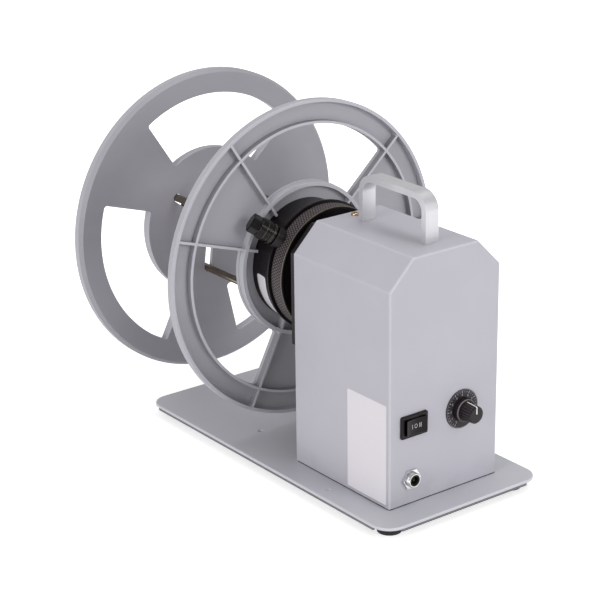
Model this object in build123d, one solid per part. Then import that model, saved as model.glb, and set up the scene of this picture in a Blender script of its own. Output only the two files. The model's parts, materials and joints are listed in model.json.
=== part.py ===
from build123d import *
import math
import os

os.makedirs("parts", exist_ok=True)

# Motor-driven label rewinder.  Every sub-part is drawn from one datum: the control
# face is y = 0, the top of the base plate is z = 0 and the shaft line is x = 0, with
# the flanges towards +Y.  save() shifts it to the part's own frame, whose origin is on
# the ground, under the middle of the whole machine.

# ---------------------------------------------------------------- base
PLATE_W = 150.0
PLATE_FRONT = -25.0
PLATE_REAR = 279.0
PLATE_CORNER = 15.0
PLATE_T = 2.0
PLATE_LIP = 4.0
PLATE_ROUND = 0.8
FOOT_R = 10.0
FOOT_TIP_R = 9.0
FOOT_H = 8.0
FOOT_INSET = 17.0
FOOT_RECESS_R = 4.8
FOOT_RECESS = 4.0
STUD_R = 2.0
STUD_END = 0.6
FOOT_NUT_AF = 7.0
FOOT_NUT_H = 3.2
BENCH_HOLE_R = 2.2
BENCH_HOLES = [(-40.3, 171.5), (40.3, 171.5), (-64.0, 54.3), (64.0, 54.3)]

# ---------------------------------------------------------------- housing
HOUSE_W = 103.0
HOUSE_D = 109.5
HOUSE_H = 187.0
HOUSE_CHAMFER = 21.4
HOUSE_ROUND = 1.8
SHEET_T = 1.5
PANEL_T = 2.0
PANEL_GAP = 0.2
FLANGE_FOLD = 12.0
SIDE_SCREW_FRONT = 24.0
SIDE_SCREW_BACK = 25.5
TOP_SCREW_BACK = 7.5
SCREW_R = 1.5
SCREW_HEAD_R = 2.8
SCREW_HEAD_H = 2.0
WELD_NUT_R = 3.0
WELD_NUT_H = 3.0
REAR_SCREW_X = 24.0
FOOT_SCREW_X = 14.0
TOP_HEAD_R = 3.2
TOP_HEAD_H = 2.0
TOP_HEAD_ROUND = 1.2
TOP_CROSS = (1.9, 0.4)
TOP_CROSS_DEEP = 1.0

# ---------------------------------------------------------------- handle
HANDLE_W = 12.0
HANDLE_T = 5.0
HANDLE_Y0 = 15.6
HANDLE_BACK = 18.9
HANDLE_RISE = 36.5
HANDLE_BEND = 14.0
HANDLE_SCREW_R = 2.0
HANDLE_SCREW_L = 12.0
HANDLE_HEAD_R = 3.6
HANDLE_HEAD_H = 2.4
HANDLE_SCREW_SPARE = 1.0

# ---------------------------------------------------------------- fits
RUN = 0.05
CLEAR = 0.3
# how far a cutting tool or the root of a rib runs past a face
OVER = 1.0

# ---------------------------------------------------------------- shaft and bearings
SHAFT_Z = 137.0
SPINDLE_R = 6.0
SPINDLE_STUB = 7.5
SPINDLE_PAST = 22.0
SPINDLE_CHAMFER = 1.0
SHOULDER_R = 7.4
BEARING_R = 14.0
BEARING_L = 8.0
BEARING_APART = 6.0
BEARING_INNER_R = 8.6
TUBE_R = 18.0
TUBE_SHOULDER = 1.5
TUBE_SHOULDER_R = 12.5
BLOCK_T = 6.0
BLOCK_SIDE = 1.6
BLOCK_BELOW_SHAFT = 43.8
BLOCK_SCREW_R = 2.0
BLOCK_HEAD_R = 3.5
BLOCK_HEAD_H = 4.0
BLOCK_SOCKET_AF = 3.0
BLOCK_SOCKET = 2.0
BLOCK_SCREW_X = 40.0
BLOCK_SCREW_Z = (-33.5, 25.0)

# ---------------------------------------------------------------- motor and coupling
MOTOR_R = 17.5
MOTOR_Y0 = 10.0
MOTOR_ROUND = 3.0
MOTOR_END_R = 5.8
MOTOR_END_L = 2.5
GEARBOX_R = 18.5
GEARBOX_L = 22.0
GEARBOX_FREE = 5.9
MOTOR_SHAFT_R = 3.0
MOTOR_SHAFT_IN = 6.0
MOTOR_SHAFT_REACH = 2.0
BRACKET_W = 44.0
BRACKET_T = 3.0
BRACKET_TOP = 22.0
BRACKET_FOOT = 23.0
BRACKET_HOLE_R = 7.0
BRACKET_SCREW_BACK = 18.0
GUSSET_H = 60.0
GUSSET_T = 2.0
MOTOR_SCREW_X = 15.4
MOTOR_SCREW_IN = 4.5
MOTOR_HOLE_IN = 5.0
COUPLING_R = 11.0
COUPLING_HUB_L = 6.1
COUPLING_GRIP = 6.5
JAW_L = 6.0
JAW_FREE = 0.5
JAW_IN_R = 5.0
JAW_R = 10.6
JAW_ROOT = 1.0
JAW_ANGLE = 44.0

# ---------------------------------------------------------------- chuck
CHUCK_FREE = 1.5
BACKPLATE_R = 46.5
BACKPLATE_T = 3.0
BACK_HUB_R = 12.0
BACK_HUB_L = 12.5
BACK_STEP = 0.2
BOSS_R = 10.0
RING_R = 49.2
RING_L = 13.4
RING_EDGE_BACK = 0.5
RING_BEVEL = 0.8
SLEEVE_IN_R = 44.6
SLEEVE_R = 46.6
SKIRT_CLEAR = 0.4
CAM_T = 4.5
CAM_FROM_BACKPLATE = 17.0
CAM_FREE = 1.0
DRUM_EDGE_R = 51.2
DRUM_EDGE = 1.4
DRUM_WAIST_R = 48.7
DRUM_R = 47.6
DRUM_WAIST = 0.5
DRUM_WALL_T = 15.0

# ---------------------------------------------------------------- rods that hold the core
ROD_ANGLES = (142.9, 262.9, 22.9)
ROD_R = 3.0
ROD_OUT = 41.0
ROD_TRAVEL = 24.0
ROD_PAST = 6.0
ROD_CHAMFER = 0.6
RING_TURN = 100.0
SLOT_OVERRUN = 2.5
CARRIER_W = 14.0
CARRIER_L = 10.0
CARRIER_SEAT_IN = 3.0
GUIDE_END = 0.3
FLANGE_SLOT_R = 3.4

# ---------------------------------------------------------------- lock knob
LOCK_R = 50.0
LOCK_FROM_RING = 3.6
LOCK_LEAN = 26.0
LOCK_BOSS_R = 8.6
LOCK_BOSS_TOP = 2.0
LOCK_BOSS_ROOT = 6.0
LOCK_BOSS_GAP = 0.7
LOCK_SHANK_R = 2.5
LOCK_BODY_R = 7.5
LOCK_RIDGE_R = 8.1
LOCK_RIDGE = (4.2, 5.3)
LOCK_COLLAR = (7.4, 15.9)
LOCK_EDGE = 0.5
LOCK_CAP_AF = 13.2
LOCK_CAP_ROUND = 0.9
LOCK_CAP_EDGE = 0.7
LOCK_CAP_TOP = 23.4

# ---------------------------------------------------------------- flanges
FLANGE_R = 125.0
FLANGE_T = 3.0
FLANGE_DEEP = 8.5
FLANGE_BEVEL = 2.7
RIM_T = 2.6
WINDOW_IN = 61.0
WINDOW_OUT = 105.8
SPOKE_HALF = 19.7
WINDOW_FILLET = 2.4
HUB_RIB = (57.6, 60.6)
OUTER_RIB = (106.0, 108.0)
RIB_T = 2.0
RIB_SET = 0.1
RIB_LOWER = 0.3
RIB_START = 48.4
FLANGE_GAP = 120.0
FLANGE_SCREW_AT = 30.0
FLANGE_SCREW_R = 2.0
FLANGE_SCREW_HEAD_R = 4.0
FLANGE_SCREW_IN = 10.0
FLANGE_SOCKET_AF = 2.5
FLANGE_SOCKET = 1.6
HUB_NUT_AF = 19.0
HUB_NUT_H = 5.0
STOP_R = 10.0
STOP_L = 6.0
STOP_CHAMFER = 0.8
FAR_BOSS_R = 16.0
FAR_BOSS_L = 13.0
FAR_RIB_ROOT = 2.0

# ---------------------------------------------------------------- clamp knob
KNOB_R = 18.0
KNOB_L = 14.7
KNOB_LOBES = 5
KNOB_SCALLOP_R = 9.0
KNOB_SCALLOP_AT = 23.0
KNOB_ROUND = 1.5
INSERT_R = 9.0
INSERT_COVER = 3.5

# ---------------------------------------------------------------- rocker switch
ROCKER_X = -29.4
ROCKER_Z = 61.4
BEZEL_W = 24.6
BEZEL_H = 17.2
BEZEL_T = 2.0
BEZEL_CORNER = 1.5
BEZEL_EDGE = 0.8
ROCKER_BODY_W = 21.6
ROCKER_BODY_H = 14.4
ROCKER_DEEP = 18.0
ROCKER_RECESS_W = 19.6
ROCKER_RECESS_H = 12.2
ROCKER_RECESS = 8.0
PADDLE_H = 11.6
PADDLE_TIP_X = 9.2
PADDLE_TIP_Y = -4.4
PADDLE_MID_Y = -2.9
PADDLE_SIDE = (8.4, -2.0)
PADDLE_BACK = (5.0, 5.0)
PADDLE_PIVOT_Y = 3.0
PIVOT_R = 1.2
PIVOT_END = 0.7
PIVOT_HOLE_END = 0.9
TERMINAL_L = 7.0
TERMINAL_W = 4.8
TERMINAL_T = 0.8
TERMINAL_PITCH = 6.0

# ---------------------------------------------------------------- speed knob and dial
DIAL_X = 16.3
DIAL_Z = 61.5
DIAL_R = 15.0
DIAL_T = 0.8
BUSH_R = 3.5
BUSH_OUT = 3.2
POT_R = 8.0
POT_DEEP = 10.0
POT_TAG_W = 12.0
POT_TAG_T = 2.0
POT_TAG_L = 6.0
POT_NUT_AF = 10.0
POT_NUT_H = 2.0
POT_SHAFT_R = 3.0
SKIRT_R = 9.0
SKIRT_Y = -6.0
SKIRT_BEVEL = 1.2
DIAL_KNOB_R = 7.0
DIAL_KNOB_TIP_R = 6.5
DIAL_KNOB_END = -16.6
DIAL_KNOB_BEVEL = 0.6
FLUTES = 20
FLUTE_R = 0.55
FLUTE_AT = 6.9
FLUTE_START = 0.9
DIAL_KNOB_BORE = -13.0
KNOB_RECESS_R = 6.3
KNOB_RECESS = 2.8

# ---------------------------------------------------------------- power inlet
JACK_X = -32.0
JACK_Z = 20.0
JACK_R = 5.5
JACK_OUT = 5.5
JACK_IN = 12.0
JACK_BORE_R = 3.2
JACK_BORE = 11.0
JACK_CHAMFER = 0.5
JACK_PIN_SET = 1.5
JACK_TAG_X = 3.0
JACK_TAG_L = 5.0
JACK_TAG_W = 3.0
JACK_TAG_T = 0.8
JACK_PIN_R = 1.05
JACK_NUT_AF = 14.0
JACK_NUT_H = 2.5

# ---------------------------------------------------------------- control board
BOARD_T = 1.6
BOARD_FRONT = 24.0
BOARD_BACK = 18.5
BOARD_Z = (24.0, 86.0)
BOARD_HOLE_IN = 6.0
BOARD_SCREW_SPARE = 2.0
STANDOFF_R = 3.0
STANDOFF_L = 6.0
BOARD_SCREW_R = 1.25
BOARD_HEAD_R = 2.6
BOARD_HEAD_H = 1.8
CAPACITOR_R = 6.0
CAPACITOR_L = 16.0
CAPACITOR_AT = (44.0, 70.0)
TERMINALS = (10.0, 26.0, 9.0)
TERMINALS_AT = (44.0, 28.0)
TERMINAL_WAYS = 4
TERMINAL_HOLE_R = 1.6
TERMINAL_HOLE = 3.0
SINK = (14.0, 24.0, 20.0)
SINK_AT = (61.0, 54.0)
SINK_BASE = 3.0
SINK_FIN = 2.0
SINK_FINS = 4

# ---------------------------------------------------------------- places along Y
# Each piece is set from the one that carries it, so that all of them follow the
# housing: the motor side towards the front, the chuck and the flanges towards the back.
SIDE_SCREW_Y = (SIDE_SCREW_FRONT, HOUSE_D - SIDE_SCREW_BACK)
TOP_SCREW_Y = HOUSE_D - TOP_SCREW_BACK
HANDLE_L = HOUSE_D - HANDLE_Y0 - HANDLE_BACK
BOARD_Y = (BOARD_FRONT, HOUSE_D - BOARD_BACK)
BLOCK_FACE = HOUSE_D + BLOCK_T
BEARING_REAR_Y = BLOCK_FACE - BEARING_L
BEARING_FRONT_Y = BEARING_REAR_Y - BEARING_APART - BEARING_L
TUBE_Y0 = BEARING_FRONT_Y - TUBE_SHOULDER
SPINDLE_Y0 = TUBE_Y0 - SPINDLE_STUB
COUPLING_Y1 = SPINDLE_Y0 + COUPLING_GRIP
JAW_Y1 = SPINDLE_Y0 - JAW_FREE
JAW_Y0 = JAW_Y1 - JAW_L
COUPLING_Y0 = JAW_Y0 - COUPLING_HUB_L
MOTOR_SHAFT_END = JAW_Y0 + MOTOR_SHAFT_REACH
GEARBOX_Y1 = COUPLING_Y0 - GEARBOX_FREE
GEARBOX_Y0 = GEARBOX_Y1 - GEARBOX_L
BRACKET_SCREW_Y = GEARBOX_Y1 + BRACKET_SCREW_BACK
BACK_HUB_Y0 = BLOCK_FACE + CHUCK_FREE
BACKPLATE_Y0 = BACK_HUB_Y0 + BACK_HUB_L
RING_Y0 = BACKPLATE_Y0 - RING_EDGE_BACK
RING_Y1 = RING_Y0 + RING_L
LOCK_Y = RING_Y1 + LOCK_FROM_RING
CAM_Y0 = BACKPLATE_Y0 + CAM_FROM_BACKPLATE
CAM_Y1 = CAM_Y0 + CAM_T
DRUM_WALL_Y = CAM_Y1 + CAM_FREE
DRUM_WAIST_Y = DRUM_WALL_Y + DRUM_WAIST
DRUM_Y1 = DRUM_WALL_Y + DRUM_WALL_T
CARRIER_SEAT = DRUM_WALL_Y + CARRIER_SEAT_IN
NEAR_FACE = DRUM_Y1 + FLANGE_T
FLANGE_SCREW_TIP = DRUM_Y1 - FLANGE_SCREW_IN
FAR_FACE = NEAR_FACE + FLANGE_GAP
ROD_END = FAR_FACE + ROD_PAST
FAR_BOSS_END = FAR_FACE + FAR_BOSS_L
KNOB_Y0 = FAR_BOSS_END + CLEAR
KNOB_Y1 = KNOB_Y0 + KNOB_L
INSERT_END = KNOB_Y1 - INSERT_COVER
SPINDLE_Y1 = FAR_FACE + SPINDLE_PAST

PLATE_TOP = FOOT_H + PLATE_T
MIDDLE_Y = (PLATE_FRONT + KNOB_Y1) / 2
INNER_TOP = HOUSE_H - SHEET_T
CAM_PITCH = ROD_TRAVEL / math.radians(RING_TURN)


def save(shape, node):
    """Write one sub-part, shifted from the datum to the part's own frame."""
    export_step(Pos(0, -MIDDLE_Y, PLATE_TOP) * shape, "parts/" + node + ".step")


def box(x0, x1, y0, y1, z0, z1):
    centre = Pos((x0 + x1) / 2, (y0 + y1) / 2, (z0 + z1) / 2)
    return centre * Box(x1 - x0, y1 - y0, z1 - z0)


def rod_y(r, y0, y1, x=0.0, z=0.0):
    """A round bar along Y."""
    return Pos(x, (y0 + y1) / 2, z) * Rot(90, 0, 0) * Cylinder(r, y1 - y0)


def rod_x(r, x0, x1, y=0.0, z=0.0):
    """A round bar along X."""
    return Pos((x0 + x1) / 2, y, z) * Rot(0, 90, 0) * Cylinder(r, x1 - x0)


def rod_z(r, z0, z1, x=0.0, y=0.0):
    """A round bar along Z."""
    return Pos(x, y, (z0 + z1) / 2) * Cylinder(r, z1 - z0)


def hex_y(across, y0, y1, x=0.0, z=0.0, sides=6):
    """A polygonal bar along Y, measured across its flats."""
    flat = RegularPolygon(across / 2, sides, major_radius=False)
    return Pos(x, y1, z) * Rot(90, 0, 0) * extrude(flat, y1 - y0)


def hex_z(across, z0, z1, x=0.0, y=0.0):
    flat = RegularPolygon(across / 2, 6, major_radius=False)
    return Pos(x, y, z0) * extrude(flat, z1 - z0)


def lathe(points, axis=Axis.Y):
    """Turn a closed outline, given as (radius, height) pairs, about an axis."""
    return revolve(make_face(Polyline(*points, close=True)), axis)


def at_angle(shape, degrees):
    """Turn a shape drawn on the +X side of the shaft to an angle from +X towards +Z."""
    return Rot(0, -degrees, 0) * shape


def on_shaft(shape):
    return Pos(0, 0, SHAFT_Z) * shape


def around(shape, angles=ROD_ANGLES):
    """Copies of one shape at several angles about the shaft."""
    copies = [at_angle(shape, a) for a in angles]
    return Compound(children=copies)


def cut_all(body, tools):
    for tool in tools:
        body = body - tool
    return body


def join_all(body, extras):
    for extra in extras:
        body = body + extra
    return body


# ================================================================ base
def foot_places():
    xs = (-PLATE_W / 2 + FOOT_INSET, PLATE_W / 2 - FOOT_INSET)
    ys = (PLATE_FRONT + FOOT_INSET, PLATE_REAR - FOOT_INSET)
    return [(x, y) for x in xs for y in ys]


def base_screw_places():
    side_x = HOUSE_W / 2 - SHEET_T - FLANGE_FOLD / 2
    sides = [(s * side_x, y) for s in (-1, 1) for y in SIDE_SCREW_Y]
    rear = [(s * REAR_SCREW_X, TOP_SCREW_Y) for s in (-1, 1)]
    bracket = [(s * FOOT_SCREW_X, BRACKET_SCREW_Y) for s in (-1, 1)]
    return sides, rear, bracket


def make_base_plate():
    length = PLATE_REAR - PLATE_FRONT
    mid_y = (PLATE_REAR + PLATE_FRONT) / 2
    plan = RectangleRounded(PLATE_W, length, PLATE_CORNER)
    sheet = Pos(0, mid_y, -PLATE_T) * extrude(plan, PLATE_T)
    sheet = fillet(sheet.edges().group_by(Axis.Z)[-1], PLATE_ROUND)
    half = PLATE_W / 2
    y0 = PLATE_FRONT + PLATE_CORNER
    y1 = PLATE_REAR - PLATE_CORNER
    x1 = half - PLATE_CORNER
    lips = [
        box(-half, -half + PLATE_T, y0, y1, -PLATE_LIP, -PLATE_T),
        box(half - PLATE_T, half, y0, y1, -PLATE_LIP, -PLATE_T),
        box(-x1, x1, PLATE_FRONT, PLATE_FRONT + PLATE_T, -PLATE_LIP, -PLATE_T),
        box(-x1, x1, PLATE_REAR - PLATE_T, PLATE_REAR, -PLATE_LIP, -PLATE_T),
    ]
    stud_tip = -PLATE_TOP + STUD_END
    studs = [rod_z(STUD_R, stud_tip, -PLATE_T, x, y) for x, y in foot_places()]
    plate = join_all(sheet, lips + studs)
    holes = [rod_z(BENCH_HOLE_R, -PLATE_LIP, OVER, x, y) for x, y in BENCH_HOLES]
    for group in base_screw_places():
        holes += [rod_z(SCREW_R + RUN, -PLATE_LIP, OVER, x, y) for x, y in group]
    return cut_all(plate, holes)


def make_feet():
    top = -PLATE_T
    bottom = -PLATE_TOP
    bore = STUD_R + RUN
    outline = [
        (bore, top),
        (FOOT_R, top),
        (FOOT_R, top - FOOT_H / 2),
        (FOOT_TIP_R, bottom),
        (FOOT_RECESS_R, bottom),
        (FOOT_RECESS_R, bottom + FOOT_RECESS),
        (bore, bottom + FOOT_RECESS),
    ]
    foot = revolve(make_face(Plane.XZ * Polyline(*outline, close=True)), Axis.Z)
    return Compound(children=[Pos(x, y, 0) * foot for x, y in foot_places()])


def make_foot_nuts():
    seat = -PLATE_TOP + FOOT_RECESS
    nut = hex_z(FOOT_NUT_AF, seat - FOOT_NUT_H, seat)
    nut = nut - rod_z(STUD_R + RUN, seat - FOOT_NUT_H - OVER, seat + OVER)
    return Compound(children=[Pos(x, y, 0) * nut for x, y in foot_places()])


def screw_up(x, y, grip):
    """A pan-head screw put in from under the plate, reaching above it by grip."""
    head = rod_z(SCREW_HEAD_R, -PLATE_T - SCREW_HEAD_H, -PLATE_T, x, y)
    return head + rod_z(SCREW_R, -PLATE_T, grip, x, y)


def make_base_screws():
    sides, rear, bracket = base_screw_places()
    thin = SHEET_T + WELD_NUT_H
    screws = [screw_up(x, y, thin) for x, y in sides + rear]
    screws += [screw_up(x, y, BRACKET_T + WELD_NUT_H) for x, y in bracket]
    return Compound(children=screws)


# ================================================================ housing
def house_outline(inset, bottom=0.0, top_inset=None):
    """Section of the housing across the shaft, moved in by inset on every face."""
    down = inset if top_inset is None else top_inset
    x = HOUSE_W / 2 - inset
    corner = inset * (math.sqrt(2) - 1)
    side_z = HOUSE_H - HOUSE_CHAMFER - corner
    top_z = HOUSE_H - down
    top_x = HOUSE_W / 2 - HOUSE_CHAMFER + corner
    pts = [(-x, bottom), (-x, side_z), (-top_x, top_z), (top_x, top_z), (x, side_z), (x, bottom)]
    return pts


def prism_y(points, y0, y1):
    """An outline given as (x, z) pairs, drawn out along Y."""
    face = make_face(Polyline(*[(x, z) for x, z in points], close=True))
    return Pos(0, y1, 0) * Rot(90, 0, 0) * extrude(face, y1 - y0)


def weld_nut_z(x, y, z0):
    return rod_z(WELD_NUT_R, z0, z0 + WELD_NUT_H, x, y)


def make_housing_cover():
    shell = prism_y(house_outline(0.0), 0, HOUSE_D)
    long_edges = shell.edges().filter_by(Axis.Y).filter_by(lambda e: e.center().Z > 1)
    shell = fillet(long_edges, HOUSE_ROUND)
    front = shell.faces().sort_by(Axis.Y)[0].edges().filter_by(lambda e: e.center().Z > 1)
    shell = fillet(front, HOUSE_ROUND)
    shell = shell - prism_y(house_outline(SHEET_T, -OVER), SHEET_T, HOUSE_D + OVER)
    sides = base_screw_places()[0]
    wall = HOUSE_W / 2 - SHEET_T
    fold_y = (SIDE_SCREW_Y[0] - FLANGE_FOLD, SIDE_SCREW_Y[1] + FLANGE_FOLD / 2)
    for side in (-1, 1):
        x0, x1 = sorted((side * wall, side * (wall - FLANGE_FOLD)))
        shell = shell + box(x0, x1, fold_y[0], fold_y[1], 0, SHEET_T)
    shell = join_all(shell, [weld_nut_z(x, y, SHEET_T) for x, y in sides])
    holes = [rod_z(SCREW_R + RUN, -OVER, 2 * WELD_NUT_H, x, y) for x, y in sides]
    holes.append(rod_z(SCREW_R + RUN, INNER_TOP - OVER, HOUSE_H + OVER, 0, TOP_SCREW_Y))
    for y in handle_leg_ys():
        holes.append(rod_z(HANDLE_SCREW_R + RUN, INNER_TOP - OVER, HOUSE_H + OVER, 0, y))
    rw = ROCKER_BODY_W / 2 + PANEL_GAP
    rh = ROCKER_BODY_H / 2 + PANEL_GAP
    holes.append(box(ROCKER_X - rw, ROCKER_X + rw, -OVER, SHEET_T + OVER, ROCKER_Z - rh, ROCKER_Z + rh))
    holes.append(rod_y(BUSH_R + RUN, -OVER, SHEET_T + OVER, DIAL_X, DIAL_Z))
    holes.append(rod_y(JACK_R + RUN, -OVER, SHEET_T + OVER, JACK_X, JACK_Z))
    return cut_all(shell, holes)


def block_screw_places():
    return [(s * BLOCK_SCREW_X, z) for s in (-1, 1) for z in BLOCK_SCREW_Z]


def make_rear_panel():
    """Back wall of the housing, with folds that screw to the cover and to the plate."""
    y0 = HOUSE_D - PANEL_T
    panel = prism_y(house_outline(SHEET_T + PANEL_GAP), y0, HOUSE_D)
    fold_y = TOP_SCREW_Y - FLANGE_FOLD / 2
    half = HOUSE_W / 2 - HOUSE_CHAMFER - FLANGE_FOLD
    panel = panel + box(-half, half, fold_y, y0, INNER_TOP - SHEET_T, INNER_TOP)
    half = REAR_SCREW_X + FLANGE_FOLD / 2
    panel = panel + box(-half, half, fold_y, y0, 0, SHEET_T)
    nut_z = INNER_TOP - SHEET_T - WELD_NUT_H
    panel = panel + rod_z(WELD_NUT_R, nut_z, INNER_TOP - SHEET_T, 0, TOP_SCREW_Y)
    rear = base_screw_places()[1]
    panel = join_all(panel, [weld_nut_z(x, y, SHEET_T) for x, y in rear])
    nut_r = BLOCK_SCREW_R + BLOCK_SCREW_R
    places = block_screw_places()
    nuts = [rod_y(nut_r, y0 - BLOCK_HEAD_H, y0, x, SHAFT_Z + z) for x, z in places]
    panel = join_all(panel, nuts)
    holes = [rod_z(SCREW_R + RUN, -OVER, 2 * WELD_NUT_H, x, y) for x, y in rear]
    holes.append(rod_z(SCREW_R + RUN, INNER_TOP - 2 * WELD_NUT_H, HOUSE_H, 0, TOP_SCREW_Y))
    hole_r = BLOCK_SCREW_R + RUN
    holes += [rod_y(hole_r, y0 - 2 * BLOCK_HEAD_H, HOUSE_D + OVER, x, SHAFT_Z + z) for x, z in places]
    holes.append(on_shaft(rod_y(TUBE_R + RUN, y0 - OVER, HOUSE_D + OVER)))
    return cut_all(panel, holes)


def make_top_screw():
    head = rod_z(TOP_HEAD_R, HOUSE_H, HOUSE_H + TOP_HEAD_H, 0, TOP_SCREW_Y)
    head = fillet(head.edges().sort_by(Axis.Z)[-1], TOP_HEAD_ROUND)
    top = HOUSE_H + TOP_HEAD_H
    slot_z = top - TOP_CROSS_DEEP
    for w, d in (TOP_CROSS, TOP_CROSS[::-1]):
        head = head - box(-w, w, TOP_SCREW_Y - d, TOP_SCREW_Y + d, slot_z, top + OVER)
    tip = INNER_TOP - SHEET_T - WELD_NUT_H
    return head + rod_z(SCREW_R, tip, HOUSE_H, 0, TOP_SCREW_Y)


# ================================================================ handle
def handle_leg_ys():
    inset = HANDLE_T / 2
    return (HANDLE_Y0 + inset, HANDLE_Y0 + HANDLE_L - inset)


def make_carry_handle():
    y0 = HANDLE_Y0
    y1 = HANDLE_Y0 + HANDLE_L
    z0 = HOUSE_H
    z1 = HOUSE_H + HANDLE_RISE
    outer = box(-HANDLE_W / 2, HANDLE_W / 2, y0, y1, z0, z1)
    tops = outer.edges().filter_by(Axis.X).group_by(Axis.Z)[-1]
    outer = fillet(tops, HANDLE_BEND)
    t = HANDLE_T
    inner = box(-HANDLE_W, HANDLE_W, y0 + t, y1 - t, z0 - OVER, z1 - t)
    tops = inner.edges().filter_by(Axis.X).group_by(Axis.Z)[-1]
    inner = fillet(tops, HANDLE_BEND - t)
    bar = outer - inner
    for y in handle_leg_ys():
        bar = bar - rod_z(HANDLE_SCREW_R + RUN, z0 - OVER, z0 + HANDLE_SCREW_L, 0, y)
    return bar


def make_handle_screws():
    screws = []
    for y in handle_leg_ys():
        head = rod_z(HANDLE_HEAD_R, INNER_TOP - HANDLE_HEAD_H, INNER_TOP, 0, y)
        tip = HOUSE_H + HANDLE_SCREW_L - HANDLE_SCREW_SPARE
        screws.append(head + rod_z(HANDLE_SCREW_R, INNER_TOP, tip, 0, y))
    return Compound(children=screws)


# ================================================================ bearings and spindle
def make_bearing_block():
    """Thick black plate on the back of the housing, with the tube that holds the bearings."""
    bottom = SHAFT_Z - BLOCK_BELOW_SHAFT
    outline = house_outline(BLOCK_SIDE, bottom, 2 * BLOCK_SIDE)
    y1 = HOUSE_D + BLOCK_T
    block = prism_y(outline, HOUSE_D, y1)
    block = block + on_shaft(rod_y(TUBE_R, TUBE_Y0, HOUSE_D))
    seat = BEARING_R + RUN
    holes = [
        on_shaft(rod_y(TUBE_SHOULDER_R, TUBE_Y0 - OVER, y1 + OVER)),
        on_shaft(rod_y(seat, TUBE_Y0 - OVER, BEARING_FRONT_Y + BEARING_L)),
        on_shaft(rod_y(seat, BEARING_REAR_Y, y1 + OVER)),
    ]
    hole_r = BLOCK_SCREW_R + RUN
    for x, z in block_screw_places():
        holes.append(rod_y(hole_r, HOUSE_D - OVER, y1 + OVER, x, SHAFT_Z + z))
    return cut_all(block, holes)


def make_bearing_screws():
    y1 = HOUSE_D + BLOCK_T
    tip = HOUSE_D - PANEL_T - BLOCK_HEAD_H
    screws = []
    for x, z in block_screw_places():
        head = rod_y(BLOCK_HEAD_R, y1, y1 + BLOCK_HEAD_H, x, SHAFT_Z + z)
        top = y1 + BLOCK_HEAD_H
        head = head - hex_y(BLOCK_SOCKET_AF, top - BLOCK_SOCKET, top + OVER, x, SHAFT_Z + z)
        screws.append(head + rod_y(BLOCK_SCREW_R, tip, y1, x, SHAFT_Z + z))
    return Compound(children=screws)


def bearing_ring(y0, r_in, r_out):
    y1 = y0 + BEARING_L
    return on_shaft(lathe([(r_in, y0), (r_out, y0), (r_out, y1), (r_in, y1)]))


def make_spindle():
    tip = SPINDLE_R - SPINDLE_CHAMFER
    y_rear = BEARING_REAR_Y - 2 * RUN
    y_front = BEARING_FRONT_Y + BEARING_L + 2 * RUN
    outline = [
        (0, SPINDLE_Y0),
        (tip, SPINDLE_Y0),
        (SPINDLE_R, SPINDLE_Y0 + SPINDLE_CHAMFER),
        (SPINDLE_R, y_front),
        (SHOULDER_R, y_front),
        (SHOULDER_R, y_rear),
        (SPINDLE_R, y_rear),
        (SPINDLE_R, SPINDLE_Y1 - SPINDLE_CHAMFER),
        (tip, SPINDLE_Y1),
        (0, SPINDLE_Y1),
    ]
    return on_shaft(lathe(outline))


# ================================================================ motor and coupling
def make_gear_motor():
    can = rod_y(MOTOR_R, MOTOR_Y0, GEARBOX_Y0)
    can = fillet(can.edges().sort_by(Axis.Y)[0], MOTOR_ROUND)
    can = can + rod_y(MOTOR_END_R, MOTOR_Y0 - MOTOR_END_L, MOTOR_Y0)
    return on_shaft(can)


def make_gearbox():
    case = rod_y(GEARBOX_R, GEARBOX_Y0, GEARBOX_Y1)
    y1 = GEARBOX_Y1
    case = case - rod_y(MOTOR_SHAFT_R + CLEAR, y1 - MOTOR_SHAFT_IN, y1 + OVER)
    for side in (-1, 1):
        case = case - rod_y(SCREW_R + RUN, y1 - MOTOR_HOLE_IN, y1 + OVER, side * MOTOR_SCREW_X)
    return on_shaft(case)


def make_motor_bracket():
    """Bent sheet bracket that holds the gearbox face up on the shaft line."""
    half = BRACKET_W / 2
    y0 = GEARBOX_Y1
    y1 = y0 + BRACKET_T
    plate = box(-half, half, y0, y1, 0, SHAFT_Z + BRACKET_TOP)
    plate = plate + box(-half, half, y1, y1 + BRACKET_FOOT, 0, BRACKET_T)
    corners = [(y1, BRACKET_T), (y1 + BRACKET_FOOT, BRACKET_T), (y1, BRACKET_T + GUSSET_H)]
    web = make_face(Plane.YZ * Polyline(*corners, close=True))
    for x in (-half, half - GUSSET_T):
        plate = plate + Pos(x, 0, 0) * extrude(web, GUSSET_T, dir=(1, 0, 0))
    bracket = base_screw_places()[2]
    plate = join_all(plate, [weld_nut_z(x, y, BRACKET_T) for x, y in bracket])
    holes = [rod_z(SCREW_R + RUN, -OVER, BRACKET_T + 2 * WELD_NUT_H, x, y) for x, y in bracket]
    holes.append(on_shaft(rod_y(BRACKET_HOLE_R, y0 - OVER, y1 + OVER)))
    for side in (-1, 1):
        holes.append(on_shaft(rod_y(SCREW_R + RUN, y0 - OVER, y1 + OVER, side * MOTOR_SCREW_X)))
    return cut_all(plate, holes)


def make_motor_screws():
    y1 = GEARBOX_Y1 + BRACKET_T
    screws = []
    for side in (-1, 1):
        x = side * MOTOR_SCREW_X
        head = rod_y(SCREW_HEAD_R, y1, y1 + SCREW_HEAD_H, x)
        screws.append(on_shaft(head + rod_y(SCREW_R, GEARBOX_Y1 - MOTOR_SCREW_IN, y1, x)))
    return Compound(children=screws)


def make_motor_shaft():
    return on_shaft(rod_y(MOTOR_SHAFT_R, GEARBOX_Y1 - MOTOR_SHAFT_IN + CLEAR, MOTOR_SHAFT_END))


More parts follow.
